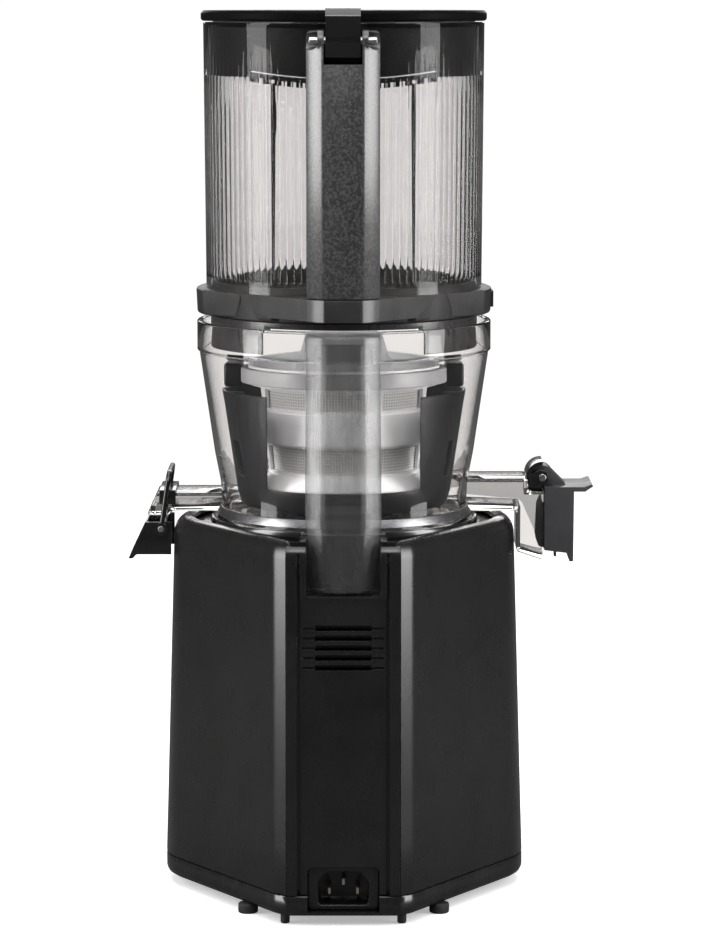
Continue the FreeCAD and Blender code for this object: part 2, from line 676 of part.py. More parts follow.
def make_shaft_bearings():
    return group("shaft_bearings", [ring("shaft_bearing", 14.0, D.shaft_radius, z, z + 7.6)
                                    for z in (163.2, 176.4)])


def make_shaft_seal():
    return ring("shaft_seal", 10.0, D.shaft_radius + 0.08, 184.4, 187.0)


def make_capacitor():
    return fuse("capacitor", [rod("capacitor_can", 12.0, 44.0, 92.0, 56.0, 22.0),
                              rod("capacitor_stud", 4.0, 40.0, 96.0, 56.0, 22.0)])


# ------------------------------------------------------------------ juicing bowl
def make_bowl_shell():
    wall, floor = D.bowl_wall, D.bowl_floor
    foot, rim, step = D.bowl_foot, D.bowl_rim, D.bowl_step
    r = D.rim_radius
    profile = [(7.5, floor - 3.0), (60.0, floor - 3.0), (61.0, foot), (66.0, foot), (66.0, foot + 1.8),
               (62.8, foot + 7.0), (63.3, 209.6), (66.3, 225.0), (70.1, 251.0), (r - 1.0, step), (r, step),
               (r, rim), (r - 2.8, rim), (r - 2.8, step + 1.4), (r - wall - 1.1, step - 1.0),
               (70.1 - wall, 251.0), (66.3 - wall, 225.0), (63.3 - wall, 209.6), (62.8 - wall, floor),
               (9.6, floor), (9.6, 212.6), (7.5, 212.6)]
    bowl = turned("bowl_turned", profile)
    y0, y1 = -D.spout_y - D.spout_half, -D.spout_y + D.spout_half
    juice = prism_y("juice_tube", [(-56.0, 192.6), (-89.2, 192.6), (-89.2, 171.2), (-103.2, 166.6),
                                   (-103.2, 203.0), (-95.0, 203.0), (-95.0, 209.4), (-56.0, 209.4)], y0, y1)
    inner_y0, inner_y1 = y0 + D.spout_wall, y1 - D.spout_wall
    juice_way = prism_y("juice_way", [(-50.0, 196.2), (-91.2, 194.8), (-91.2, 173.0), (-105.0, 168.5),
                                      (-105.0, 201.0), (-93.0, 201.0), (-93.0, 207.4), (-50.0, 207.4)],
                        inner_y0, inner_y1)
    pulp = prism_y("pulp_tube", [(50.0, 192.6), (89.0, 192.6), (90.4, 190.4), (102.2, 190.4), (96.8, 202.0),
                                 (50.0, 202.0)], y0, y1)
    pulp_way = prism_y("pulp_way", [(46.0, 196.2), (60.0, 196.2), (62.5, 194.9), (89.0, 194.4),
                                    (91.4, 192.4), (105.0, 192.4), (100.0, 200.2), (46.0, 200.2)],
                       inner_y0, inner_y1)
    ears = [box("lever_ear", D.lever_x - 3.2, D.lever_x + 3.2, y0 + shift, y0 + shift + 3.0,
                D.lever_z - 3.2, 191.0) for shift in (1.6, 27.4)]
    tubes = fuse("bowl_tubes", [juice, pulp] + ears)
    core = turned("bowl_core", [(0.0, 180.0), (62.0, 180.0), (62.6, 209.6), (65.6, 225.0), (0.0, 225.0)])
    outside = cut("bowl_tubes_outside", tubes, [core])
    pin_bore = rod_y("lever_bore", 1.6, -60.0, 20.0, D.lever_x, D.lever_z)
    pair = [box("rim_block", x - 11.9, x + 11.9, 50.0, 80.0, step + 0.4, rim - 1.0) for x in (-30.3, 30.3)]
    blocks = cut("rim_blocks", fuse("rim_block_pair", pair), [rod("rim_block_bore", r - 0.6, 200.0, 300.0)])
    limit = rod("rim_limit", r + 3.6, 200.0, 300.0)
    lugs = common("rim_lugs", blocks, limit)
    idler_post = rod("idler_post", 4.0, floor - 1.0, D.gear_low - 0.4, 0.0, -IDLER_REACH)
    idler_bore = rod("idler_pin_bore", 2.0, floor - 0.5, 220.0, 0.0, -IDLER_REACH)
    whole = fuse("bowl_whole", [bowl, outside, lugs, idler_post])
    return cut("bowl_shell", whole, [juice_way, pulp_way, pin_bore, idler_bore])


def make_bowl_handle():
    half, face, inner = D.handle_half, D.handle_face, D.grip_inner
    foot_half = 14.8
    outline = [(-foot_half, D.handle_foot), (foot_half, D.handle_foot), (half + 0.8, 204.0),
               (half, D.bowl_rim - 0.6), (-half, D.bowl_rim - 0.6), (-half - 0.8, 204.0)]
    bar = prism_y("handle_bar", outline, inner - 4.0, face)
    side = 3.6
    inside = [(-foot_half + side, D.handle_foot + 4.0), (foot_half - side, D.handle_foot + 4.0),
              (half - side, 204.0), (half - side, D.bowl_rim - 5.0),
              (-half + side, D.bowl_rim - 5.0), (-half + side, 204.0)]
    hollow = prism_y("handle_hollow", inside, inner - 6.0, face - 3.2)
    top = box("handle_top", -half, half, 60.0, inner, D.bowl_step + 0.2, D.bowl_rim - 0.6)
    web = box("handle_web", -half + 4.0, half - 4.0, 50.0, inner + 4.0, 197.4, 205.0)
    top_clear = rod("handle_top_clear", D.rim_radius, 190.0, 300.0)
    low_clear = turned("handle_low_clear", [(0.0, 180.0), (62.8, 197.3), (63.3, 209.6), (0.0, 209.6)])
    body = fuse("handle_body", [cut("handle_shell", bar, [hollow]), cut("handle_cap", top, [top_clear]),
                                cut("handle_root", web, [low_clear])])
    return cut("bowl_handle", body, [rod("handle_final_clear", 62.6, 180.0, 209.0)])


def make_bowl_seal():
    return ring("bowl_seal", 7.5, D.shaft_radius + 0.08, 206.0, 211.6)


def make_idler_pin():
    return rod("idler_pin", 2.0, D.bowl_floor - 0.4, D.gear_high + 1.0, 0.0, -IDLER_REACH)


def make_idler_gear():
    turn = 90.0 + 180.0 / IDLER_TEETH
    shape = gear_shape(float(D.output_module), IDLER_TEETH, D.gear_low, D.gear_high, turn)
    shape = shape.cut(Part.makeCylinder(2.06, 40, V(0, 0, 190)))
    made = feature("idler_gear", shape)
    made.Placement.Base = V(0, -IDLER_REACH, 0)
    return made


def make_juice_cap():
    y0, y1 = -D.spout_y - D.spout_half - 1.0, -D.spout_y + D.spout_half + 1.0
    x, z = -D.cap_hinge_x, D.cap_hinge_z
    shell = prism_y("cap_shell", [(-103.6, 172.2), (-103.6, 203.2), (-118.8, 203.2), (-118.6, 166.4),
                                  (-116.6, 166.4), (-115.4, 170.8)], y0, y1)
    hollow = prism_y("cap_hollow", [(-106.0, 165.0), (-106.0, 200.8), (-116.4, 200.8), (-116.2, 165.0)],
                     y0 + 2.0, y1 - 2.0)
    plate = prism_y("cap_plate", [(-103.6, 202.8), (-103.6, 205.2), (-124.0, 205.2), (-128.0, 206.6),
                                  (-128.6, 205.6), (-124.6, 202.8)], y0, y1)
    knuckle = rod_y("cap_knuckle", 6.0, -D.spout_y - 8.0, -D.spout_y + 8.0, x, z)
    arm = prism_y("cap_arm", [(x - 1.0, z - 5.8), (x - 8.4, 203.6), (x - 14.0, 203.6), (x - 5.0, z + 3.2)],
                  -D.spout_y - 8.0, -D.spout_y + 8.0)
    prong = box("cap_prong", -110.6, -109.4, -D.spout_y - 3.0, -D.spout_y + 3.0, 166.8, 202.0)
    bore = rod_y("cap_bore", 2.05, -60.0, 20.0, x, z)
    swing = rod_y("cap_swing", 6.9, -D.spout_y - 13.0, -D.spout_y + 13.0, x, z)
    cup_plate = fuse("cap_cup_plate", [cut("cap_cup", shell, [hollow]), plate, prong])
    outside = cut("cap_outside", cup_plate, [swing])
    return cut("juice_cap", fuse("cap_body", [outside, knuckle, arm]), [bore])


def make_cap_gasket():
    y0, y1 = -D.spout_y - D.spout_half + 3.0, -D.spout_y + D.spout_half - 3.0
    return prism_y("cap_gasket", [(-103.6, 172.4), (-103.6, 197.0), (-101.6, 197.0), (-99.8, 193.0),
                                  (-99.2, 178.0), (-100.6, 174.2)], y0, y1)


def make_cap_bracket():
    x, z, middle = -D.cap_hinge_x, D.cap_hinge_z, -D.spout_y
    outline = [(x + 7.4, 203.2), (x - 0.4, 203.2), (x - 0.8, 206.0), (x - 3.4, z - 1.0), (x - 2.4, z + 3.2),
               (x + 2.0, z + 4.2), (x + 7.4, z + 1.0)]
    cheeks = [prism_y("bracket_cheek", outline, middle + low, middle + low + 3.4) for low in (-12.0, 8.6)]
    hood = rod_y("bracket_hood", 8.4, middle - 12.0, middle + 12.0, x, z)
    hood_bore = rod_y("bracket_hood_bore", 6.5, middle - 14.0, middle + 14.0, x, z)
    keep = prism_y("bracket_hood_keep", [(x, z + 0.2), (x + 14.0, z + 0.2), (x + 14.0, z + 12.0),
                                         (x - 0.4, z + 12.0)], middle - 12.0, middle + 12.0)
    arc = common("bracket_arc", cut("bracket_tube", hood, [hood_bore]), keep)
    bore = rod_y("bracket_pin_bore", 2.0, -60.0, 20.0, x, z)
    return cut("cap_bracket", fuse("bracket_whole", cheeks + [arc]), [bore])


def make_cap_pin():
    return rod_y("cap_pin", 2.0, -D.spout_y - 12.6, -D.spout_y + 12.6, -D.cap_hinge_x, D.cap_hinge_z)


def make_pulp_lever():
    outer = [(89.4, 170.3), (107.4, 170.3), (109.4, 168.2), (111.6, 168.2), (102.6, 187.2), (89.4, 187.2)]
    inner = [(80.0, 160.0), (107.0, 160.0), (107.0, 173.2), (101.0, 190.0), (80.0, 190.0)]
    middle = -D.spout_y
    blank = prism_y("lever_blank", outer, middle - 18.6, middle + 18.6)
    hollow = prism_y("lever_hollow", inner, middle - 16.8, middle + 16.8)
    bore = rod_y("lever_pin_bore", 1.66, -60.0, 20.0, D.lever_x, D.lever_z)
    return cut("pulp_lever", blank, [hollow, bore])


def make_lever_pin():
    return rod_y("lever_pin", 1.6, -D.spout_y - 22.4, -D.spout_y + 22.4, D.lever_x, D.lever_z)


def make_pulp_bail():
    wire, reach = 1.35, 20.6
    x, z, middle = float(D.lever_x), float(D.lever_z), -float(D.spout_y)
    top_x, top_z, bend = x - 4.2, z + 28.6, 6.0
    lean = math.atan2(x - top_x, top_z - z)
    up = V(-math.sin(lean), 0, math.cos(lean))
    foot = V(x, 0, z) + up * 3.0
    shoulder = V(top_x, 0, top_z) - up * bend
    left, right = V(0, middle - reach, 0), V(0, middle + reach, 0)
    corner = bend * (1 - math.sqrt(0.5))
    path = [Part.LineSegment(foot + left, shoulder + left),
            Part.Arc(shoulder + left, shoulder + up * (bend - corner) + left + V(0, corner, 0),
                     shoulder + up * bend + left + V(0, bend, 0)),
            Part.LineSegment(shoulder + up * bend + left + V(0, bend, 0),
                             shoulder + up * bend + right - V(0, bend, 0)),
            Part.Arc(shoulder + up * bend + right - V(0, bend, 0),
                     shoulder + up * (bend - corner) + right - V(0, corner, 0), shoulder + right),
            Part.LineSegment(shoulder + right, foot + right)]
    spine = Part.Wire([edge.toShape() for edge in path])
    section = Part.Wire([Part.Circle(foot + left, up, wire).toShape()])
    shape = spine.makePipeShell([section], True, True)
    for side in (-1, 1):
        eye = Part.makeCylinder(3.4, 3.2, V(x, middle + side * reach - 1.6, z), V(0, 1, 0))
        shape = shape.fuse(eye)
    shape = shape.cut(Part.makeCylinder(1.66, 80, V(x, middle - 40, z), V(0, 1, 0)))
    return feature("pulp_bail", shape.removeSplitter())


def make_bail_catch():
    middle, reach = -D.spout_y, D.spout_half
    blank = box("catch_blank", 87.0, 95.6, middle - reach - 1.8, middle + reach + 1.8, 196.4, 203.8)
    tube = box("catch_tube", 80.0, 100.0, middle - reach, middle + reach, 180.0, 202.0)
    return cut("bail_catch", blank, [tube])


# ------------------------------------------------------------------ strainer, scraper and auger
def make_strainer_frame():
    base = turned("strainer_wall", [
        (39.4, 208.0), (48.0, 208.0), (48.0, 210.0), (42.6, 216.0), (40.6, 216.0), (42.4, 232.0),
        (44.2, 232.0), (45.0, 248.0), (43.6, 248.0), (44.6, 261.0), (49.0, 261.0), (49.0, 271.0),
        (46.0, 271.0), (46.0, 262.6), (42.2, 262.0), (41.2, 248.0), (40.2, 232.0), (38.6, 216.0)])
    windows = []
    for low, high in ((217.6, 230.6), (249.4, 259.6)):
        for step in range(8):
            window = box("strainer_window", 30.0, 60.0, -14.4, 14.4, low, high)
            window.Placement = FreeCAD.Placement(V(0, 0, 0), FreeCAD.Rotation(V(0, 0, 1), 45.0 * step))
            angle = math.radians(45.0 * step)
            place(window, 30.0 * math.cos(angle) + 14.4 * math.sin(angle),
                  30.0 * math.sin(angle) - 14.4 * math.cos(angle), low)
            windows.append(window)
    return cut("strainer_frame", base, windows)


def make_strainer_mesh():
    bands = [turned("mesh_band", [(38.1, 217.6), (38.6, 217.6), (39.9, 230.6), (39.4, 230.6)]),
             turned("mesh_band", [(40.6, 249.4), (41.1, 249.4), (41.8, 259.6), (41.3, 259.6)])]
    return group("strainer_mesh", bands)


def make_strainer_ring():
    rim = ring("ring_rim", 53.0, 49.0, 262.0, 270.0)
    lugs = common("ring_lugs", box("ring_lug_box", -90.0, 90.0, -9.0, 9.0, 259.0, 272.0),
                  ring("ring_lug_band", 68.6, 50.5, 259.0, 272.0))
    return fuse("strainer_ring", [rim, lugs])


def make_scraper_cage():
    low, top = 207.0, D.cage_top
    outer_low, outer_top = D.cage_radius_low + 1.8, D.cage_radius_top
    cone = turned("cage_cone", [(50.2, D.gear_low - 1.2), (D.cage_radius_low, D.gear_low - 1.2),
                                (outer_low, low), (outer_top, top), (outer_top - 2.4, top),
                                (outer_low - 2.4, low + 1.0), (50.2, low + 1.0)])
    gaps = [box("cage_gap", -38.0, 38.0, -90.0, 90.0, low + 3.0, top + 10.0)]
    slots = [box("cage_slot", -90.0, 90.0, side - 3.4, side + 3.4, low + 8.0, low + 26.0)
             for side in (-22.0, 22.0)]
    return cut("scraper_cage", cone, gaps + slots)


def make_scraper_gear():
    blank = Part.makeCylinder(50.1, float(D.gear_high - D.gear_low), V(0, 0, float(D.gear_low)))
    teeth = Part.Face(gear_outline(float(D.output_module), RING_TEETH, True)).extrude(V(0, 0, 30))
    turn = FreeCAD.Rotation(V(0, 0, 1), -90.0 + 180.0 / RING_TEETH)
    teeth.Placement = FreeCAD.Placement(V(0, 0, 190), turn)
    return feature("scraper_gear", blank.cut(teeth))


def make_scraper_wipers():
    blades = []
    for side in (-1.0, 1.0):
        profile = [(side * 49.4, 213.0), (side * 52.6, 213.0), (side * 59.6, 256.0), (side * 51.0, 256.0)]
        blades.append(prism_y("scraper_blade", profile, -1.2, 1.2))
    return group("scraper_wipers", blades)


def make_auger():
    teeth = gear_shape(float(D.output_module), SUN_TEETH, D.gear_low, D.gear_high, -90.0)
    profile = [(0, 205.5), (13.0, 205.5), (13.0, 209.0), (28.0, 212.0), (29.0, 236.0), (27.0, 262.0),
               (20.0, 282.0), (12.0, 294.0), (8.0, float(D.auger_top)), (0, float(D.auger_top))]
    core = Part.Face(Part.makePolygon([V(r, 0, z) for r, z in profile] + [V(0, 0, 205.5)]))
    core = core.revolve(V(0, 0, 0), V(0, 0, 1), 360)
    flights = []
    low, high, pitch = 212.0, 262.0, 46.0
    helix = Part.makeHelix(pitch, high - low, 26.0)
    for start in (0.0, 120.0, 240.0):
        section = Part.makePolygon([V(26.0, 0, -2.6), V(37.0, 0, -1.2), V(37.0, 0, 1.2), V(26.0, 0, 2.6),
                                    V(26.0, 0, -2.6)])
        flight = Part.Wire(helix.Edges).makePipeShell([section], True, True)
        flight.Placement = FreeCAD.Placement(V(0, 0, low), FreeCAD.Rotation(V(0, 0, 1), start))
        flights.append(flight)
    shape = teeth.fuse([core] + flights)
    shape = shape.cut([Part.makeCylinder(10.2, 16.0, V(0, 0, 199.0)),
                       Part.makeCylinder(8.5, 23.0, V(0, 0, 211.0))])
    return feature("auger", shape.removeSplitter())


def make_auger_socket():
    barrel = rod("socket_barrel", 8.5, 215.2, 233.8)
    hexagon = doc.addObject("Part::Prism", "socket_hexagon")
    hexagon.Polygon = 6
    bind(hexagon, "Circumradius", D.hex_corner + 0.3)
    bind(hexagon, "Height", 22.0)
    place(hexagon, 0.0, 0.0, 214.0)
    return cut("auger_socket", barrel, [hexagon])


# ------------------------------------------------------------------ hopper and lid
def make_hopper_collar():
    corners = [(17.0, 86.6)]
    outer = lofted("collar_outer", [(D.collar_low, D.collar_radius - 0.6, 23.6, corners),
                                    (D.collar_high, D.collar_radius, 24.0, corners)])
    bore = rod("collar_bore", 68.0, 290.0, 320.0)
    tab = box("collar_tab", -76.2, -70.0, -6.0, 6.0, 299.6, 307.6)
    return cut("hopper_collar", fuse("collar_body", [outer, tab]), [bore])


def make_hopper_shell():
    r, wall = D.hopper_radius, D.hopper_wall
    return turned("hopper_shell", [(r - wall - 1.0, D.collar_high), (r - 1.0, D.collar_high),
                                   (r, D.hopper_top), (r - wall, D.hopper_top)])


def make_hopper_guard():
    r = D.hopper_radius - D.hopper_wall
    return turned("hopper_guard", [(r - 2.4, 417.0), (r - 0.3, 417.0), (r - 0.3, 441.0), (r - 2.4, 441.0)])


def make_hopper_scoop():
    return turned("hopper_scoop", [(39.6, 299.0), (65.6, 292.0), (65.6, 286.0), (68.0, 286.0), (68.0, 309.2),
                                   (66.2, 318.0), (64.0, 318.0), (65.4, 308.0), (58.0, 303.0), (42.6, 306.0),
                                   (39.6, 304.0)])


def make_hopper_handle():
    half, top = D.handle_half, D.spine_top
    bar = box("spine_bar", -half, half, 50.0, D.spine_face, D.collar_high + 0.2, top)
    r = D.hopper_radius
    clear = turned("spine_clear", [(0.0, 300.0), (r - 1.0, 300.0), (r - 1.0, 309.6), (r, D.hopper_top),
                                   (0.0, D.hopper_top)])
    hollow = box("spine_hollow", -half + 3.4, half - 3.4, 60.0, D.spine_face - 3.2, D.collar_high + 4.0,
                 418.0)
    barrel_gap = box("spine_gap", -9.4, 9.4, 60.0, 100.0, 423.6, 460.0)
    bore = rod_x("spine_bore", 2.0, -40.0, 40.0, D.hinge_y, D.hinge_z)
    return cut("hopper_handle", bar, [clear, hollow, barrel_gap, bore])


def make_lid():
    r = D.lid_radius
    plate = turned("lid_plate", [(0.0, D.lid_low), (r - 1.0, D.lid_low), (r, D.lid_low + 1.0),
                                 (r, D.lid_top - 1.4), (r - 1.4, D.lid_top), (0.0, D.lid_top)])
    tab = prism_x("lid_tab", [(56.0, D.lid_top - 1.0), (56.0, D.tab_top), (82.4, D.tab_top), (85.6, 447.4),
                              (86.0, 436.0), (84.6, 427.0), (82.6, 427.0), (81.4, 431.0), (75.2, 437.0),
                              (75.2, 445.0), (70.0, 446.0)], -8.6, 8.6)
    barrel = rod_x("lid_barrel", 5.4, -8.6, 8.6, D.hinge_y, D.hinge_z)
    bore = rod_x("lid_bore", 2.06, -20.0, 20.0, D.hinge_y, D.hinge_z)
    return cut("lid", fuse("lid_body", [plate, tab, barrel]), [bore])


def make_lid_seal():
    return ring("lid_seal", 66.4, 64.0, D.lid_low - 1.6, D.lid_low)


def make_hinge_pin():
    return rod_x("hinge_pin", 2.0, -16.6, 16.6, D.hinge_y, D.hinge_z)


# ------------------------------------------------------------------ assembly
MAKERS = [
    make_base_shell, make_base_tray, make_feet, make_tray_screws, make_top_deck, make_rear_panel,
    make_inlet_housing, make_inlet_pins, make_control_knob, make_knob_switch, make_control_board,
    make_capacitor, make_motor_can, make_motor_stator, make_motor_rotor, make_motor_bearings,
    make_cooling_fan, make_motor_pinion, make_motor_bracket, make_gear_housing, make_housing_screws,
    make_stage_gear, make_counter_shaft, make_counter_bearings, make_output_gear, make_drive_shaft,
    make_shaft_bearings, make_shaft_seal,
    make_bowl_shell, make_bowl_handle, make_bowl_seal, make_idler_pin, make_idler_gear,
    make_juice_cap, make_cap_gasket, make_cap_bracket, make_cap_pin,
    make_pulp_lever, make_lever_pin, make_pulp_bail, make_bail_catch,
    make_strainer_frame, make_strainer_mesh, make_strainer_ring,
    make_scraper_cage, make_scraper_gear, make_scraper_wipers, make_auger, make_auger_socket,
    make_hopper_collar, make_hopper_shell, make_hopper_guard, make_hopper_scoop, make_hopper_handle,
    make_lid, make_lid_seal, make_hinge_pin,
]

nodes = {}
for maker in MAKERS:
    piece = maker()
    node = maker.__name__[len("make_"):]
    piece.Label = node
    nodes[node] = piece
doc.recompute()

faults = [item.Label for item in doc.Objects if "Invalid" in item.State or "Error" in item.State]
if faults:
    raise RuntimeError("objects that failed: " + ", ".join(faults))
for node, piece in nodes.items():
    if piece.Shape.isNull() or not piece.Shape.isValid() or not piece.Shape.Solids:
        raise RuntimeError("bad shape: " + node)

os.makedirs("parts", exist_ok=True)
for node, piece in nodes.items():
    piece.Shape.exportStep("parts/" + node + ".step")
    print("%-18s %2d solids  %10.1f mm3" % (node, len(piece.Shape.Solids), piece.Shape.Volume))
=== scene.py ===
import json
import math

import bmesh
import bpy
from mathutils import Matrix, Vector


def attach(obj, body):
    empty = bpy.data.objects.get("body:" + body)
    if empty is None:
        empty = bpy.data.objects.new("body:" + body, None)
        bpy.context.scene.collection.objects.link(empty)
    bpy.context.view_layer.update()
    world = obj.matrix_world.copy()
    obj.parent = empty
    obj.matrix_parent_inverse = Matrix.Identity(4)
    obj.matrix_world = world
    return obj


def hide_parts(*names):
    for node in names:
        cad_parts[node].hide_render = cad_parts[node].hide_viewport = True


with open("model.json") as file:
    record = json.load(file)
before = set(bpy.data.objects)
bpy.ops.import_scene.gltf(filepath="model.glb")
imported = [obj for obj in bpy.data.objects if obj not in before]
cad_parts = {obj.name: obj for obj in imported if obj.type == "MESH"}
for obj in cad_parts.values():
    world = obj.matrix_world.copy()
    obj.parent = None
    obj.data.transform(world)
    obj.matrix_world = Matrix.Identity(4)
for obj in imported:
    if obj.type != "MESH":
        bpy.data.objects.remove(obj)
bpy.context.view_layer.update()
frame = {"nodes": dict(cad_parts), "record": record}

# A vertical slow juicer: satin black drive unit, clear bowl and ribbed smoky hopper.
# Shapes are in millimetres, which MM turns into metres. Materials, lights and their places are in metres.
MM = 0.001
NODES = frame["nodes"]
BODIES = frame["record"]["behaviour"]["bodies"]
BODY_OF = {node: body for body, members in BODIES.items() for node in members}
SLOT_OF = {entry["node"]: entry["material_slot"] for entry in frame["record"]["subparts"]}

# Drive unit.
BODY_RADIUS, BODY_TAPER = 92.4, 5.0     # round front at the foot, and how much smaller it is at the deck
REAR_FACE, REAR_DRAFT = 99.8, 4.4       # flat rear at the foot, and how far it leans in
FLAT_HALF = 28.4                        # half width of the flat rear
SHELL_LOW, SHELL_HEIGHT = 15.8, 168.2
POCKET_HALF, POCKET_BACK, POCKET_FLOOR = 18.4, 68.6, 164.8
SHOULDER_Z, PANEL_TOP = 183.0, 190.4    # where the shell and the panel start to turn inwards, and the top
DIAL_Z, DIAL_RADIUS = 92.0, 19.0
INLET_HALF, INLET_LOW, INLET_HIGH = 17.6, 7.8, 29.4
MOUTH_HALF, MOUTH_LOW, MOUTH_HIGH = 12.5, 10.1, 27.1
DECK_UNDER, DECK_TOP, SEAT_TOP, SEAT_RADIUS = 184.4, 188.0, 190.0, 68.5
COUNTER_Y, IDLER_Y = -42.0, -30.0       # the two shafts beside the drive axis

# Handles. A bar's face is flat in the middle and leans back towards its sides.
HANDLE_FACE, SPINE_FACE, COLLAR_FACE = 96.6, 86.0, 86.6
HANDLE_WALL = 3.2
FLAT_SHARE, TURN_SHARE = 0.50, 0.60     # of the half width
LEAN_LOW, LEAN_HIGH = 34.0, 46.0        # degrees

# Bowl, hopper and lid.
SPOUT_Y = (-38.0, -6.0)
SPOUT_WALL = 2.0
HOPPER_LOW, HOPPER_HEIGHT = 309.8, 133.8
HOPPER_OUTER, HOPPER_INNER = 70.2, 68.0
GUARD_LOW = 417.0
HINGE_Y, HINGE_Z, HINGE_RADIUS = 80.4, 435.0, 5.4


# ------------------------------------------------------------------ node helpers
class Net:
    """A material's node tree, with short ways to add and join nodes.

    It takes a material, or the name of a new one."""

    def __init__(self, material):
        self.material = bpy.data.materials.new(material) if isinstance(material, str) else material
        self.material.use_nodes = True
        self.tree = self.material.node_tree
        self.shader = self.tree.nodes["Principled BSDF"]
        self.output = self.tree.nodes["Material Output"]

    def add(self, kind, inputs=None, **settings):
        node = self.tree.nodes.new("ShaderNode" + kind)
        for key, value in settings.items():
            setattr(node, key, value)
        for key, value in (inputs or {}).items():
            node.inputs[key].default_value = value
        return node

    def join(self, source, target):
        self.tree.links.new(source, target)

    def place(self):
        """The point's place in the frame, in metres."""
        return self.add("TexCoord").outputs["Object"]

    def noise(self, scale, detail=2.0, roughness=0.5, vector=None):
        node = self.add("TexNoise", {"Scale": scale, "Detail": detail, "Roughness": roughness})
        self.join(vector or self.place(), node.inputs["Vector"])
        return node.outputs["Fac"]

    def stretched(self, x, y, z):
        """The place with each axis scaled, for streaks."""
        node = self.add("Mapping", {"Scale": (x, y, z)})
        self.join(self.place(), node.inputs["Vector"])
        return node.outputs["Vector"]

    def span(self, value, low, high, start=0.0, end=1.0):
        node = self.add("MapRange", {"From Min": start, "From Max": end, "To Min": low, "To Max": high})
        self.join(value, node.inputs["Value"])
        return node.outputs["Result"]

    def math(self, operation, first, second=None):
        node = self.add("Math", operation=operation)
        for index, value in enumerate((first, second)):
            if value is None:
                continue
            if isinstance(value, (int, float)):
                node.inputs[index].default_value = value
            else:
                self.join(value, node.inputs[index])
        return node.outputs[0]

    def blend_colour(self, factor, first, second):
        node = self.add("Mix", data_type="RGBA")
        node.inputs["A"].default_value = (*first, 1.0)
        node.inputs["B"].default_value = (*second, 1.0)
        self.join(factor, node.inputs["Factor"])
        return [out for out in node.outputs if out.type == "RGBA"][0]

    def colour(self, source):
        self.join(source, self.shader.inputs["Base Color"])

    def roughness(self, source):
        self.join(source, self.shader.inputs["Roughness"])

    def bump(self, height, strength, distance):
        """Lift the surface where height is large; distance is in metres."""
        node = self.add("Bump", {"Strength": strength, "Distance": distance})
        self.join(height, node.inputs["Height"])
        self.join(node.outputs["Normal"], self.shader.inputs["Normal"])

    def show_mix(self, factor, first, second):
        """Send a mix of two shaders to the surface output."""
        mix = self.add("MixShader")
        for index, source in enumerate((factor, first, second)):
            self.join(source, mix.inputs[index])
        self.join(mix.outputs[0], self.output.inputs["Surface"])


# ------------------------------------------------------------------ materials
def plastic(name, colour, roughness, grain, grain_depth=0.00004, grain_strength=0.35, coat=0.0,
            spread=0.06, lighter=1.25, specular=0.5, coat_roughness=0.22):
    """Moulded plastic: mottled colour, uneven sheen and a spark-eroded grain."""
    net = Net(name)
    cloud = net.noise(38.0, 4.0, 0.6)
    pale = tuple(min(1.0, part * lighter + 0.002) for part in colour)
    net.colour(net.blend_colour(net.span(cloud, 0.0, 1.0, 0.35, 0.68), colour, pale))
    smear = net.noise(120.0, 3.0, 0.6, net.stretched(1.0, 1.0, 0.35))
    net.roughness(net.span(smear, roughness - spread, roughness + spread, 0.3, 0.7))
    net.bump(net.noise(grain, 2.0, 0.65), grain_strength, grain_depth)
    net.shader.inputs["Specular IOR Level"].default_value = specular
    net.shader.inputs["Coat Weight"].default_value = coat
    net.shader.inputs["Coat Roughness"].default_value = coat_roughness
    return net.material


def metal(name, colour, roughness, streak=(1.0, 1.0, 12.0), scratch=420.0):
    """Metal with drawn or turned streaks and a little tarnish."""
    net = Net(name)
    net.shader.inputs["Metallic"].default_value = 1.0
    cloud = net.noise(60.0, 4.0, 0.6)
    dull = tuple(part * 0.72 for part in colour)
    net.colour(net.blend_colour(net.span(cloud, 0.0, 1.0, 0.35, 0.7), colour, dull))
    line = net.noise(scratch, 3.0, 0.6, net.stretched(*streak))
    net.roughness(net.span(line, roughness - 0.08, roughness + 0.12, 0.3, 0.7))
    net.bump(line, 0.25, 0.00003)
    return net.material


def polish_middle(material, half, weight):
    """Give a material a clear coat only where X is within half of the middle, in metres."""
    net = Net(material)
    parts = net.add("SeparateXYZ")
    net.join(net.place(), parts.inputs[0])
    inside = net.math("LESS_THAN", net.math("ABSOLUTE", parts.outputs["X"]), half)
    net.join(net.span(inside, 0.0, weight), net.shader.inputs["Coat Weight"])


def rubber(name, colour):
    """Dull rubber or silicone with a little dust."""
    net = Net(name)
    dust = net.noise(260.0, 4.0, 0.7)
    pale = tuple(part * 1.8 + 0.004 for part in colour)
    net.colour(net.blend_colour(net.span(dust, 0.0, 1.0, 0.45, 0.75), colour, pale))
    net.roughness(net.span(dust, 0.62, 0.82))
    net.bump(net.noise(1500.0, 2.0), 0.3, 0.00005)
    return net.material


def glass(name, tint, roughness, waviness, ior):
    """Clear moulded plastic that bends light, slightly wavy. Lamps shine through it tinted."""
    net = Net(name)
    cloud = net.noise(40.0, 3.0, 0.6)
    paler = tuple(min(1.0, part * 1.03) for part in tint)
    net.colour(net.blend_colour(net.span(cloud, 0.0, 1.0, 0.35, 0.65), tint, paler))
    net.shader.inputs["Transmission Weight"].default_value = 1.0
    net.shader.inputs["IOR"].default_value = ior
    net.roughness(net.span(net.noise(150.0, 3.0), roughness * 0.6, roughness * 1.4, 0.3, 0.7))
    net.bump(net.noise(70.0, 3.0), waviness, 0.0003)
    clear = net.add("BsdfTransparent", {"Color": (*tint, 1.0)})
    net.show_mix(net.add("LightPath").outputs["Is Shadow Ray"], net.shader.outputs[0], clear.outputs[0])
    return net.material


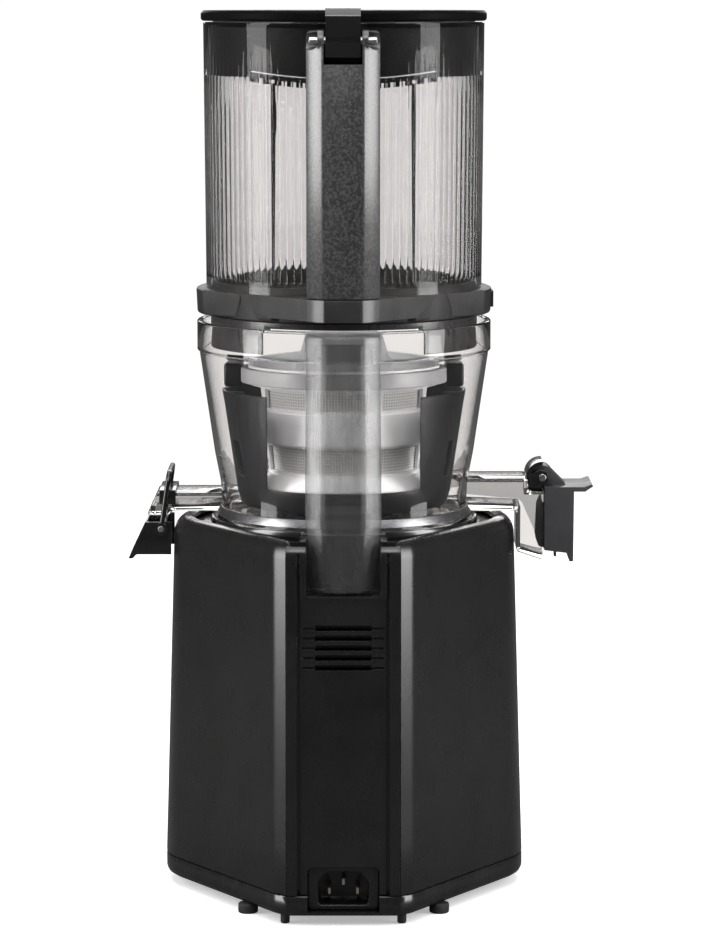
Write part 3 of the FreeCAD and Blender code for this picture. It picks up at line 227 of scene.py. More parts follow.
def frost(name, dark, pale, roughness, through, specular, coat=0.0, speckle=1.0, clearness=0.8):
    """Frosted smoky plastic: cloudy and grainy, with some light coming through."""
    net = Net(name)
    patches = net.noise(34.0, 5.0, 0.7, net.stretched(1.0, 1.0, 0.30))
    specks = net.noise(760.0, 3.0, 0.7)
    clouded = net.span(patches, 0.0, 0.5, 0.30, 0.72)
    shade = net.math("ADD", clouded, net.span(specks, 0.0, speckle, 0.44, 0.66))
    net.colour(net.blend_colour(shade, dark, pale))
    net.roughness(net.span(specks, roughness - 0.05, roughness + 0.10, 0.3, 0.7))
    net.bump(net.noise(1100.0, 2.0, 0.7), 0.6, 0.00010)
    net.shader.inputs["Specular IOR Level"].default_value = specular
    net.shader.inputs["Coat Weight"].default_value = coat
    net.shader.inputs["Coat Roughness"].default_value = 0.24
    clear = net.add("BsdfTransparent", {"Color": (clearness, clearness, clearness, 1.0)})
    solid = net.span(patches, 1.0 - through * 1.2, 1.0 - through * 0.8, 0.35, 0.65)
    net.show_mix(solid, clear.outputs[0], net.shader.outputs[0])
    return net.material


def filter_screen(name):
    """Etched steel filter: a fine staggered grid of round holes around the drive axis."""
    radius, pitch, threshold = 0.040, 0.0015, 0.50
    net = Net(name)
    net.shader.inputs["Metallic"].default_value = 0.15
    net.roughness(net.span(net.noise(300.0), 0.3, 0.5))
    parts = net.add("SeparateXYZ")
    net.join(net.place(), parts.inputs[0])
    turn = net.math("ARCTAN2", parts.outputs["Y"], parts.outputs["X"])
    around = net.math("MULTIPLY", turn, radius / pitch * math.pi)
    height = net.math("MULTIPLY", parts.outputs["Z"], math.pi / pitch)
    grid = net.math("MULTIPLY", net.math("SINE", net.math("ADD", around, height)),
                    net.math("SINE", net.math("SUBTRACT", around, height)))
    shade = net.span(grid, 0.0, 1.0, 0.02, 0.30)
    net.colour(net.blend_colour(shade, (0.97, 0.97, 0.96), (0.36, 0.36, 0.36)))
    hole = net.math("GREATER_THAN", grid, threshold)
    net.show_mix(hole, net.shader.outputs[0], net.add("BsdfTransparent").outputs[0])
    return net.material


MATERIALS = {
    "base_satin": plastic("base_satin", (0.0048, 0.0047, 0.0045), 0.28, 1400.0, 0.00002, 0.10, coat=0.5,
                          spread=0.015, lighter=1.1, specular=0.4),
    "black_gloss": plastic("black_gloss", (0.0030, 0.0030, 0.0031), 0.24, 300.0, 0.00002, 0.08, coat=0.8,
                           spread=0.03, coat_roughness=0.12),
    "rubber_black": rubber("rubber_black", (0.010, 0.010, 0.011)),
    "steel": metal("steel", (0.52, 0.52, 0.53), 0.34),
    "shaft_steel": metal("shaft_steel", (0.60, 0.60, 0.61), 0.26),
    "brass_pin": metal("brass_pin", (0.72, 0.66, 0.52), 0.30, (1.0, 14.0, 1.0)),
    "inlet_black": plastic("inlet_black", (0.0035, 0.0035, 0.0035), 0.26, 1200.0, 0.00002, 0.16, coat=0.6,
                           specular=0.4),
    "board_green": plastic("board_green", (0.015, 0.10, 0.05), 0.35, 700.0),
    "can_grey": metal("can_grey", (0.56, 0.57, 0.58), 0.36),
    "motor_steel": metal("motor_steel", (0.28, 0.28, 0.29), 0.45),
    "copper": metal("copper", (0.55, 0.26, 0.12), 0.38, (30.0, 30.0, 1.0)),
    "nylon_white": plastic("nylon_white", (0.66, 0.65, 0.61), 0.42, 600.0),
    "cast_metal": metal("cast_metal", (0.40, 0.40, 0.41), 0.52, (1.0, 1.0, 1.0), 700.0),
    "clear_smoke": glass("clear_smoke", (0.90, 0.885, 0.875), 0.02, 0.04, 1.33),
    "frost_smoke": frost("frost_smoke", (0.008, 0.0078, 0.0082), (0.060, 0.057, 0.060), 0.34, 0.05, 0.8,
                         coat=0.8),
    "hopper_smoke": glass("hopper_smoke", (0.755, 0.74, 0.735), 0.02, 0.008, 1.24),
    "guard_smoke": frost("guard_smoke", (0.006, 0.006, 0.006), (0.014, 0.014, 0.014), 0.45, 0.03, 0.10),
    "cage_grey": plastic("cage_grey", (0.0085, 0.0092, 0.0108), 0.36, 900.0, specular=0.28),
    "strainer_grey": plastic("strainer_grey", (0.84, 0.855, 0.875), 0.38, 800.0, lighter=1.1),
    "mesh_steel": filter_screen("mesh_steel"),
    "silicone_grey": rubber("silicone_grey", (0.08, 0.08, 0.085)),
    "collar_grain": plastic("collar_grain", (0.0075, 0.0073, 0.0071), 0.52, 900.0, 0.00012, 0.9, lighter=2.2,
                            specular=0.4),
    "cap_grey": plastic("cap_grey", (0.035, 0.035, 0.038), 0.40, 1100.0),
}
polish_middle(MATERIALS["collar_grain"], 0.0176, 0.65)
# A few pieces look different from the rest of their slot.
LID_BLACK = plastic("lid_black", (0.0030, 0.0029, 0.0028), 0.42, 1200.0, 0.00002, 0.15, spread=0.03,
                    lighter=1.1, specular=0.02)
PALE_FROST = frost("pale_frost", (0.008, 0.008, 0.0085), (0.085, 0.085, 0.088), 0.30, 0.62, 1.0,
                   coat=1.0, speckle=0.35, clearness=0.94)
SKIRT_GREY = plastic("skirt_grey", (0.024, 0.0235, 0.024), 0.30, 900.0, lighter=1.4)
FLANGE_GREY = plastic("flange_grey", (0.26, 0.265, 0.275), 0.38, 800.0)
# Painted reflection: a grey steel band put at the bowl's foot, standing in for the bright reflection seen
# there.
PAINTED_REFLECTION_STEEL = metal("painted_reflection_steel", (0.30, 0.30, 0.31), 0.30)


# ------------------------------------------------------------------ mesh helpers
def new_piece(name, mesh, node, slot=None, crease=34.0, material=None):
    """Put a mesh in the scene in place of a CAD node, with its material, smooth up to the crease angle."""
    for polygon in mesh.polygons:
        polygon.use_smooth = True
    mesh.set_sharp_from_angle(angle=math.radians(crease))
    piece = bpy.data.objects.new(name, mesh)
    bpy.context.scene.collection.objects.link(piece)
    slot = slot or SLOT_OF[node]
    mesh.materials.clear()
    mesh.materials.append(material or MATERIALS[slot])
    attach(piece, BODY_OF[node])
    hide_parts(node)


def mesh_from(name, points, faces):
    """A mesh in metres, with its double points joined and its faces turned outwards."""
    mesh = bpy.data.meshes.new(name)
    mesh.from_pydata([Vector(point) * MM for point in points], [], faces)
    mesh.validate()
    build = bmesh.new()
    build.from_mesh(mesh)
    bmesh.ops.remove_doubles(build, verts=build.verts, dist=1e-7)
    bmesh.ops.delete(build, geom=[edge for edge in build.edges if not edge.link_faces], context="EDGES")
    bmesh.ops.recalc_face_normals(build, faces=build.faces)
    build.to_mesh(mesh)
    build.free()
    return mesh


def loft(name, rings, closed=True):
    """Skin equal rings of points.

    A closed loft joins the last ring to the first, and an open one gets end faces."""
    count = len(rings[0])
    points = [point for ring in rings for point in ring]
    faces = []
    spans = len(rings) if closed else len(rings) - 1
    for level in range(spans):
        low, high = level * count, ((level + 1) % len(rings)) * count
        for step in range(count):
            after = (step + 1) % count
            faces.append((low + step, low + after, high + after, high + step))
    if not closed:
        faces.append(tuple(reversed(range(count))))
        faces.append(tuple(range((len(rings) - 1) * count, len(rings) * count)))
    return mesh_from(name, points, faces)


def gather(name, meshes):
    """Several closed meshes as one."""
    build = bmesh.new()
    for mesh in meshes:
        build.from_mesh(mesh)
    whole = bpy.data.meshes.new(name)
    build.to_mesh(whole)
    build.free()
    return whole


def bend(start, corner, end, share):
    """A point on the curve that leaves start and reaches end, pulled towards the corner."""
    return start * (1 - share) ** 2 + corner * 2 * share * (1 - share) + end * share ** 2


def round_corners(profile, radius):
    """A closed (a, b) outline with its corners rounded."""
    steps = 4
    made = []
    count = len(profile)
    for index in range(count):
        before, here, after = (Vector(profile[(index + shift) % count]) for shift in (-1, 0, 1))
        back, ahead = before - here, after - here
        reach = min(radius, back.length * 0.45, ahead.length * 0.45)
        start, end = here + back.normalized() * reach, here + ahead.normalized() * reach
        made += [bend(start, here, end, step / steps) for step in range(steps + 1)]
    return made


def lathe(name, profile, segments, rounding, ripple=None):
    """Turn a closed (radius, height) outline about Z. ripple(radius, height, angle) may move the radius."""
    outline = round_corners(profile, rounding) if rounding else [Vector(point) for point in profile]
    rings = []
    for step in range(segments):
        angle = 2 * math.pi * step / segments
        ring = []
        for radius, height in outline:
            if ripple is not None:
                radius = ripple(radius, height, angle)
            ring.append((radius * math.cos(angle), radius * math.sin(angle), height))
        rings.append(ring)
    return loft(name, rings)


def refine(node, width):
    """A copy of a CAD node with its flat faces joined and its edges rounded, in place of the node."""
    new_piece(node + "_form", soften(NODES[node].data.copy(), width), node)


# ------------------------------------------------------------------ solids for carving
def loose(name, mesh):
    """An object that is only used to make another and is removed afterwards."""
    made = bpy.data.objects.new(name, mesh)
    bpy.context.scene.collection.objects.link(made)
    return made


def block(x0, x1, y0, y1, z0, z1):
    corners = [(x, y, z) for z in (z0, z1) for x, y in ((x0, y0), (x1, y0), (x1, y1), (x0, y1))]
    return loft("block", [corners[:4], corners[4:]], closed=False)


def upright(x, y, radius, z0, z1, segments=48):
    """A round bar along Z."""
    angles = [2 * math.pi * k / segments for k in range(segments)]
    ring = [(x + radius * math.cos(angle), y + radius * math.sin(angle)) for angle in angles]
    return loft("upright", [[(*p, z0) for p in ring], [(*p, z1) for p in ring]], closed=False)


def rod_along(axis, first, last, a, b, radius, segments=40):
    """A round bar along X or Y at the other two coordinates (a, b)."""
    rings = []
    for along in (first, last):
        ring = []
        for k in range(segments):
            angle = 2 * math.pi * k / segments
            u, v = radius * math.cos(angle), radius * math.sin(angle)
            ring.append((along, a + u, b + v) if axis == "X" else (a + u, along, b + v))
        rings.append(ring)
    return loft("rod", rings, closed=False)


def oblong(half, low, high, rounding):
    """A rectangle with rounded corners, centred on zero and from low to high."""
    return round_corners([(-half, low), (half, low), (half, high), (-half, high)], rounding)


def prism(outline, axis, first, last):
    """An outline drawn out along an axis: (y, z) pairs for X, (x, z) for Y and (x, y) for Z."""
    rings = []
    for along in (first, last):
        if axis == "X":
            rings.append([(along, a, b) for a, b in outline])
        elif axis == "Y":
            rings.append([(a, along, b) for a, b in outline])
        else:
            rings.append([(a, b, along) for a, b in outline])
    return loft("prism", rings, closed=False)


def carve(mesh, cutters, joined=()):
    """The mesh with some solids joined to it and others cut from it."""
    whole = loose("carved", mesh)
    tools = []
    for operation, solids in (("UNION", joined), ("DIFFERENCE", cutters)):
        for solid in solids:
            tool = loose("tool", solid)
            tools.append(tool)
            step = whole.modifiers.new(operation, "BOOLEAN")
            step.operation, step.object, step.solver = operation, tool, "EXACT"
    bpy.context.view_layer.update()
    made = bpy.data.meshes.new_from_object(whole.evaluated_get(bpy.context.evaluated_depsgraph_get()))
    for item in [whole] + tools:
        bpy.data.objects.remove(item)
    return made


def soften(mesh, width, segments=3, angle=28.0):
    """Join flat faces and round the edges sharper than the angle."""
    build = bmesh.new()
    build.from_mesh(mesh)
    bmesh.ops.remove_doubles(build, verts=build.verts, dist=2e-6)
    bmesh.ops.dissolve_limit(build, angle_limit=math.radians(1.5), verts=build.verts, edges=build.edges)
    sharp = [edge for edge in build.edges
             if len(edge.link_faces) == 2 and edge.calc_face_angle(0.0) > math.radians(angle)]
    bmesh.ops.bevel(build, geom=sharp, offset=width * MM, segments=segments, profile=0.5, affect="EDGES",
                    clamp_overlap=True)
    build.to_mesh(mesh)
    build.free()
    mesh.validate()
    return mesh


def bar_face(half):
    """(x, fall) pairs of a bar's face from its middle to its edge."""
    steps = 26
    flat, turned = FLAT_SHARE * half, TURN_SHARE * half
    pairs, fall = [(0.0, 0.0)], 0.0
    for step in range(steps + 1):
        x = flat + (half - flat) * step / steps
        if x < turned:
            lean = LEAN_LOW * (x - flat) / (turned - flat)
        else:
            lean = LEAN_LOW + (LEAN_HIGH - LEAN_LOW) * (x - turned) / (half - turned)
        if step:
            fall += math.tan(math.radians(lean)) * (half - flat) / steps
        pairs.append((x, fall))
    return pairs


def bar_sections(levels, y0, y1):
    """Sections of an upright bar with a bevelled face, from (height, half width, face shift) levels."""
    rings = []
    for height, half, shift in levels:
        face = [(x, y1 + shift - fall) for x, fall in bar_face(half)]
        outline = [(half, y0)] + list(reversed(face)) + [(-x, y) for x, y in face[1:]] + [(-half, y0)]
        rings.append([(x, y, height) for x, y in outline])
    return rings


# ------------------------------------------------------------------ drive unit
def plan_half(share, inset):
    """Half of the drive unit's outline, from the rear channel to the middle of the front.

    share goes from 0 at the foot to 1 at the deck, and inset draws the outline in."""
    corner, side, steps = 1.6, 10.0, 34
    radius = BODY_RADIUS - BODY_TAPER * share - inset
    lean = REAR_DRAFT * share + inset
    side_y = 13.0 - 0.3 * inset
    start = math.asin(side_y / radius)
    flat = Vector((FLAT_HALF - 0.2 * inset, REAR_FACE - lean))
    strip = Vector((34.5 - 0.4 * inset, 94.5 - lean))
    joint = Vector((radius * math.cos(start), side_y))
    facet = (joint - strip).normalized()
    after = start - side / radius
    landing = Vector((radius * math.cos(after), radius * math.sin(after)))
    points = [flat, flat.lerp(strip, 0.5)]
    run = min(corner, (strip - flat).length * 0.4)
    first, last = strip + (flat - strip).normalized() * run, strip + facet * run
    points += [bend(first, strip, last, s) for s in (0, 0.25, 0.5, 0.75, 1)]
    first = joint - facet * side
    points += [last.lerp(first, s) for s in (0.25, 0.5, 0.75)]
    points += [bend(first, joint, landing, k / 10) for k in range(11)]
    for step in range(1, steps + 1):
        angle = after + (-math.pi / 2 - after) * step / steps
        points.append(Vector((radius * math.cos(angle), radius * math.sin(angle))))
    return [(p.x, p.y) for p in points]


def plan_whole(share, inset):
    half = plan_half(share, inset)
    return half + [(-x, y) for x, y in reversed(half[:-1])]


def make_base_shell():
    """The shell: a C in plan, open where the rear panel sits, with a soft shoulder and the dial's disc."""
    wall = 3.0
    levels = [(SHELL_LOW, 0.0, 0.5), (16.0, 0.0, 0.15), (16.4, 0.0, 0.0)]
    levels += [(z, (z - SHELL_LOW) / SHELL_HEIGHT, 0.0) for z in (40.0, 80.0, 120.0, 150.0, 172.0)]
    steps = 10
    angles = [math.pi / 2 * k / steps for k in range(steps + 1)]
    levels += [(SHOULDER_Z + 8.6 * math.sin(a), 1.0, 6.4 * (1 - math.cos(a))) for a in angles]
    rings = []
    for z, share, inset in levels:
        outer = [(x, y, z) for x, y in plan_whole(share, inset)]
        deep = max(wall, inset + 0.6) if z < 189.0 else 10.0
        inner = [(math.copysign(max(abs(x), FLAT_HALF), x) if y > 60.0 else x, y, min(z, 191.0))
                 for x, y in plan_whole(share, deep)]
        rings.append(outer + list(reversed(inner)))
    mesh = loft("base_shell_form", rings, closed=False)
    dial = rod_along("Y", -91.8, -84.0, 0.0, DIAL_Z, DIAL_RADIUS, 64)
    stem = rod_along("Y", -96.0, -80.0, 0.0, DIAL_Z, 4.4)
    mesh = carve(mesh, [stem], [dial])
    new_piece("base_shell_form", mesh, "base_shell", crease=40.0)


def make_base_tray():
    """The tray under the shell, with a rounded foot, a notch for the rear panel and slots in its floor."""
    outside = [(5.0, 3.4), (5.3, 2.2), (6.2, 0.9), (7.6, 0.2), (8.6, 0.0)]
    outside += [(15.0, 0.0), (15.4, 0.3), (15.5, 0.9)]
    inside = [(15.5, 4.0), (8.0, 4.0), (8.0, 20.0)]
    rings = [[(x, y, z) for x, y in plan_whole(0.0, inset)] for z, inset in outside + inside]
    mesh = loft("base_tray_form", rings, closed=False)
    cutters = [block(-17.8, 17.8, 70.0, 110.0, 7.4, 20.0)]
    cutters += [block(-24.0, 24.0, y, y + 2.5, 0.0, 12.0) for y in range(-30, 25, 6)]
    new_piece("base_tray_form", carve(mesh, cutters), "base_tray", crease=40.0)


def panel_face(z):
    """Rear face of the drive unit at a height."""
    return REAR_FACE - REAR_DRAFT * (z - SHELL_LOW) / SHELL_HEIGHT


def make_rear_panel():
    """The rear panel: a raised border, grooves beside it, vents, the handle pocket and the inlet frame."""
    low, inner, outside, shoulder = 15.9, 84.0, 120.0, panel_face(SHOULDER_Z)
    border = [(inner, low), (panel_face(low), low), (shoulder, SHOULDER_Z)]
    border += [(shoulder - 5.0 * (1 - math.cos(a)), SHOULDER_Z + 7.4 * math.sin(a))
               for a in [math.pi / 2 * k / 6 for k in range(1, 7)]]
    border += [(inner, PANEL_TOP)]
    mesh = prism(border, "X", -28.2, 28.2)
    cutters = []
    for side in (-1, 1):
        edges = sorted((side * 21.2, side * 22.9))
        cutters.append(prism([(panel_face(low) - 3.4, 0.0), (outside, 0.0), (outside, 186.0),
                              (panel_face(186.0) - 3.4, 186.0)], "X", *edges))
    cutters.append(prism([(panel_face(0.0) - 1.7, 0.0), (outside, 0.0), (outside, 163.6),
                          (panel_face(163.6) - 1.7, 163.6)], "X", -21.3, 21.3))
    cutters.append(prism(oblong(POCKET_HALF, POCKET_FLOOR, 215.0, 2.4), "Y", POCKET_BACK, outside))
    flare = [(18.0, 174.0), (24.6, 186.0), (30.0, 200.0), (-30.0, 200.0), (-24.6, 186.0), (-18.0, 174.0)]
    cutters.append(prism(flare, "Y", 84.6, 93.0))
    for step in range(5):
        z = 129.4 + 4.9 * step
        cutters.append(block(-14.0, 14.0, 86.0, outside, z - 1.4, z + 1.4))
        cutters.append(block(-20.3, 20.3, 92.6, outside, z - 0.7, z + 0.7))
    cutters.append(prism(oblong(INLET_HALF + 0.2, 0.0, 29.8, 3.2), "Y", 70.0, outside))
    back = block(-21.6, 21.6, 66.4, 84.2, 162.8, PANEL_TOP)
    well = block(-POCKET_HALF, POCKET_HALF, POCKET_BACK, 90.0, POCKET_FLOOR, 200.0)
    mesh = carve(mesh, cutters + [well], [back])
    new_piece("rear_panel_form", soften(mesh, 0.5, 3, 24.0), "rear_panel", crease=40.0)


def make_inlet():
    """The inlet housing with its rounded mouth, cut corners and raised rim."""
    body = prism(oblong(INLET_HALF, INLET_LOW, INLET_HIGH, 2.6), "Y", 74.0, 95.0)
    mouth = [(-MOUTH_HALF, MOUTH_LOW), (MOUTH_HALF, MOUTH_LOW), (MOUTH_HALF, 22.5), (7.9, MOUTH_HIGH),
             (-7.9, MOUTH_HIGH), (-MOUTH_HALF, 22.5)]
    mesh = carve(body, [prism(round_corners(mouth, 1.8), "Y", 79.5, 100.0)])
    new_piece("inlet_housing_form", soften(mesh, 0.4, 3, 30.0), "inlet_housing", crease=40.0)
    pins = []
    for x, z in ((-7.0, 16.6), (7.0, 16.6), (0.0, 21.2)):
        left, right, low, high = x - 1.0, x + 1.0, z - 2.0, z + 2.0
        ring = round_corners([(left, low), (right, low), (right, high), (left, high)], 0.5)
        tip = [(x + (p.x - x) * 0.6, z + (p.y - z) * 0.75) for p in ring]
        pins.append(loft("pin", [[(p.x, 79.5, p.y) for p in ring], [(p.x, 91.6, p.y) for p in ring],
                                 [(a, 92.5, b) for a, b in tip]], closed=False))
    new_piece("inlet_pins_form", gather("inlet_pins_form", pins), "inlet_pins")


# ------------------------------------------------------------------ handles
def make_bowl_handle():
    """The bowl's handle: a tapering bar, open towards the bowl, with a bracket and a web to hold it."""
    levels = [(166.4, 13.4, -1.6), (166.8, 14.2, -0.6), (167.8, 14.7, 0.0), (185.0, 16.9, 0.0),
              (200.0, 18.6, 0.0), (206.0, 18.8, 0.0), (216.0, 18.6, 0.0), (240.0, 18.1, 0.0),
              (290.0, 18.0, 0.0), (291.8, 17.6, -0.2), (292.4, 16.9, -0.9)]
    outer = loft("bar", bar_sections(levels, 82.0, HANDLE_FACE), closed=False)
    inside = [(170.4, 11.0, 0.0), (200.0, 14.8, 0.0), (206.0, 15.2, 0.0), (240.0, 14.4, 0.0),
              (288.0, 14.3, 0.0)]
    hollow = loft("hollow", bar_sections(inside, 79.0, HANDLE_FACE - HANDLE_WALL), closed=False)
    bracket = [(15.0, 68.0), (18.0, 71.0), (18.0, 86.0), (-18.0, 86.0), (-18.0, 71.0), (-15.0, 68.0)]
    top = prism(bracket, "Z", 278.0, 292.4)
    web = block(-13.6, 13.6, 60.0, 91.0, 197.4, 205.0)
    rim = upright(0, 0, 75.05, 190.0, 300.0, 160)
    cone = lathe("cone", [(0.0, 180.0), (62.9, 180.0), (62.9, 197.3), (63.4, 212.0), (0.0, 212.0)], 160, 0)
    top = carve(top, [rim])
    web = carve(web, [cone])
    mesh = soften(carve(carve(outer, [hollow]), [], [top, web]), 0.5, 2, 40.0)
    new_piece("bowl_handle_form", mesh, "bowl_handle", crease=40.0, material=PALE_FROST)


def make_hopper_handle():
    """The hopper's spine, hollow behind, and the two knuckles of the lid hinge."""
    levels = [(309.9, 17.6, -0.3), (310.4, 18.0, 0.0), (430.0, 18.0, 0.0), (436.0, 18.0, -0.6),
              (438.6, 17.6, -1.8), (439.8, 16.8, -3.4), (440.0, 15.6, -5.0)]
    outer = loft("spine", bar_sections(levels, 60.0, SPINE_FACE), closed=False)
    inside = [(314.0, 14.4, 0.0), (418.0, 14.4, 0.0)]
    hollow = loft("hollow", bar_sections(inside, 60.0, SPINE_FACE - HANDLE_WALL), closed=False)
    wall = [(0.0, 300.0), (70.25, 300.0), (70.25, 309.6), (71.25, 443.6), (0.0, 443.6)]
    cone = lathe("cone", wall, 200, 0)
    gap = block(-9.4, 9.4, 50.0, 100.0, 423.6, 460.0)
    bore = rod_along("X", -40.0, 40.0, HINGE_Y, HINGE_Z, 2.1)
    recess, knuckles = [], []
    for side in (-1, 1):
        near, middle, far = side * 9.5, side * 12.4, side * 30.0
        recess.append(rod_along("X", *sorted((middle, far)), HINGE_Y, HINGE_Z, 4.4))
        knuckles.append(rod_along("X", *sorted((near, middle)), HINGE_Y, HINGE_Z, HINGE_RADIUS))
    mesh = carve(outer, [hollow, cone, gap] + recess, knuckles)
    mesh = carve(mesh, [bore])
    new_piece("hopper_handle_form", soften(mesh, 0.45, 2, 40.0), "hopper_handle", crease=40.0)


# ------------------------------------------------------------------ hopper
def make_hopper_shell():
    """The hopper's clear reeded wall, 1 mm wider at the top, and two pairs of guide ribs inside it."""
    reeds, reeds_low, reeds_high = 112, 315.6, 442.0

    def reed(radius, height, angle):
        if radius < 69.9 or not reeds_low < height < reeds_high:
            return radius
        depth = 0.80 if height < GUARD_LOW else 0.05
        fade = min(1.0, (height - reeds_low) / 1.2, (reeds_high - height) / 1.2)
        return radius - depth * fade * (1.0 - abs(math.cos(angle * reeds / 2.0)) ** 0.6)

    heights = (314.0, reeds_low, 316.2, 316.8, 350.0, 400.0, 416.4, 417.4, 430.0, 440.8, reeds_high)
    profile = [(HOPPER_INNER, HOPPER_LOW), (HOPPER_OUTER, HOPPER_LOW)]
    profile += [(HOPPER_OUTER + (z - HOPPER_LOW) / HOPPER_HEIGHT, z) for z in heights]
    profile += [(71.2, 442.9), (70.9, 443.6), (69.3, 443.6), (69.0, 443.0)]
    profile += [(HOPPER_INNER + (z - HOPPER_LOW) / HOPPER_HEIGHT, z) for z in (400.0, 350.0)]
    mesh = lathe("hopper_shell_form", profile, reeds * 8, 0.0, reed)
    new_piece("hopper_shell_form", mesh, "hopper_shell", crease=50.0)
    guides = []
    for side in (-33.0, 33.0):
        for shift in (-1.3, 1.3):
            x = side + shift
            y = math.sqrt(67.6 ** 2 - x ** 2)
            guides.append(block(x - 0.45, x + 0.45, y - 3.4, y - 0.2, 316.0, 414.0))
    mesh = gather("hopper_guides_form", guides)
    new_piece("hopper_guides_form", mesh, "hopper_shell", slot="guard_smoke")


def arc_wall(inner, outer, half, low, high):
    """An upright wall between two radii on the +Y side, out to half either way.

    low and high are functions of x."""
    steps = 48
    rings = []
    for step in range(steps + 1):
        x = half * (2.0 * step / steps - 1.0)
        turn = math.asin(x / outer)
        near, far = [(r * math.sin(turn), r * math.cos(turn)) for r in (inner, outer)]
        rings.append([(*near, low(x)), (*far, low(x)), (*far, high(x)), (*near, high(x))])
    return loft("arc_wall", rings, closed=False)


def make_hopper_guard():
    """The dark band inside the hopper's mouth. Its rear dips in the middle and ends in a comb of teeth."""
    teeth, reach = 44, 47.0

    def edge(x):
        return 417.4 - 3.8 * max(0.0, 1.0 - (x / reach) ** 2)

    band = [(66.6, GUARD_LOW), (68.0, GUARD_LOW), (68.2, 441.0), (66.6, 441.0)]
    solids = [lathe("guard", band, 224, 0.4), arc_wall(66.0, 66.5, 46.5, edge, lambda x: 440.6)]
    for step in range(teeth):
        x = reach * (2.0 * (step + 0.5) / teeth - 1.0)
        low = edge(x) - 2.4
        y = math.sqrt(66.4 ** 2 - x ** 2)
        solids.append(block(x - 0.62, x + 0.62, y - 1.0, y, low, low + 3.2))
    new_piece("hopper_guard_form", gather("hopper_guard_form", solids), "hopper_guard", crease=40.0)
    line = arc_wall(67.0, 68.35, 45.0, lambda x: edge(x) + 2.6, lambda x: edge(x) + 3.0)
    trim = gather("hopper_guard_trim", [line])
    new_piece("hopper_guard_trim", trim, "hopper_guard", slot="strainer_grey")


def make_hopper_collar():
    """The collar under the hopper: round, with a bevelled face at the rear that carries the spine on."""
    low, height = 297.0, 12.6

    def plan(inset, share):
        radius = 74.8 + 0.6 * share - inset
        side = 23.6 + 0.4 * share
        start = math.asin(side / radius)
        outline = [(x, COLLAR_FACE - inset - fall) for x, fall in bar_face(16.4)]
        outline += [(radius * math.cos(a), radius * math.sin(a))
                    for a in [start - (start + math.pi / 2) * k / 60 for k in range(61)]]
        whole = outline + [(-x, y) for x, y in reversed(outline[:-1])]
        return round_corners(whole, 3.0)

    rings = []
    for z, inset in ((low, 1.0), (297.3, 0.3), (298.0, 0.0), (308.4, 0.0), (309.3, 0.3), (309.6, 1.0)):
        rings.append([(p.x, p.y, z) for p in plan(inset, (z - low) / height)])
    mesh = loft("hopper_collar_form", rings, closed=False)
    notch = prism([(-44.0, 290.0), (44.0, 290.0), (41.0, 298.6), (-41.0, 298.6)], "Y", 60.0, 100.0)
    opening = upright(0.0, 0.0, HOPPER_INNER, 290.0, 320.0, 192)
    catch = block(-76.2, -70.0, -6.0, 6.0, 299.6, 307.6)
    new_piece("hopper_collar_form", carve(mesh, [opening, notch], [catch]), "hopper_collar", crease=40.0)


def make_hopper_scoop():
    """The hopper's sloping floor and, at its two sides, the grey skirt that drops into the bowl."""
    floor = [(39.6, 299.0), (65.6, 294.6), (67.8, 296.4), (67.8, 309.2), (66.8, 313.4), (65.4, 313.4),
             (65.4, 308.0), (58.0, 303.0), (42.6, 306.0), (39.6, 304.0)]
    floor = lathe("hopper_scoop_floor", floor, 160, 0.8)
    new_piece("hopper_scoop_floor", floor, "hopper_scoop", slot="collar_grain")
    skirt = [(65.8, 280.0), (68.0, 280.0), (68.0, 296.2), (65.8, 294.4)]
    skirt = carve(lathe("skirt", skirt, 192, 0.5), [block(-39.0, 39.0, -80.0, 80.0, 270.0, 293.0)])
    skirt = soften(skirt, 0.4, 2, 40.0)
    new_piece("hopper_scoop_skirt", skirt, "hopper_scoop", slot="frost_smoke", material=SKIRT_GREY)


def make_top_deck():
    """The glossy deck: the CAD node's plate, and a turned seat with a dish, a shaft hole and a low rim."""
    above = block(-120.0, 120.0, -120.0, 120.0, DECK_TOP, 200.0)
    plug = lathe("plug", [(0.0, DECK_UNDER), (67.0, DECK_UNDER), (67.0, SEAT_TOP), (0.0, SEAT_TOP)], 160, 0)
    plate = soften(carve(NODES["top_deck"].data.copy(), [above], [plug]), 0.4, 2)
    seat = lathe("seat", [(8.0, 186.0), (SEAT_RADIUS, 186.0), (SEAT_RADIUS, 191.2), (67.9, 192.1),
                          (67.2, 192.1), (66.7, 191.4), (66.7, SEAT_TOP), (8.0, SEAT_TOP)], 160, 0)
    dish = lathe("dish", [(20.0, 187.0), (58.0, 187.0), (58.0, 195.0), (20.0, 195.0)], 192, 0.4)
    bore = lathe("bore", [(0.0, 180.0), (10.0, 180.0), (10.0, 195.0), (0.0, 195.0)], 64, 0)
    pocket = block(-21.0, 21.0, 60.0, 100.0, 189.4, 200.0)
    new_piece("top_deck_form", carve(plate, [dish, bore, pocket], [seat]), "top_deck", crease=40.0)


def make_counter_bearings():
    """The two plain bearings of the gear's counter shaft, with true round bores."""
    bore, outer, height = 4.06, 8.0, 4.8
    rings = []
    for low in (131.2, 165.0):
        high = low + height
        ring = lathe("bearing", [(bore, low), (outer, low), (outer, high), (bore, high)], 96, 0.4)
        ring.transform(Matrix.Translation((0.0, COUNTER_Y * MM, 0.0)))
        rings.append(ring)
    new_piece("counter_bearings_form", gather("counter_bearings_form", rings), "counter_bearings")


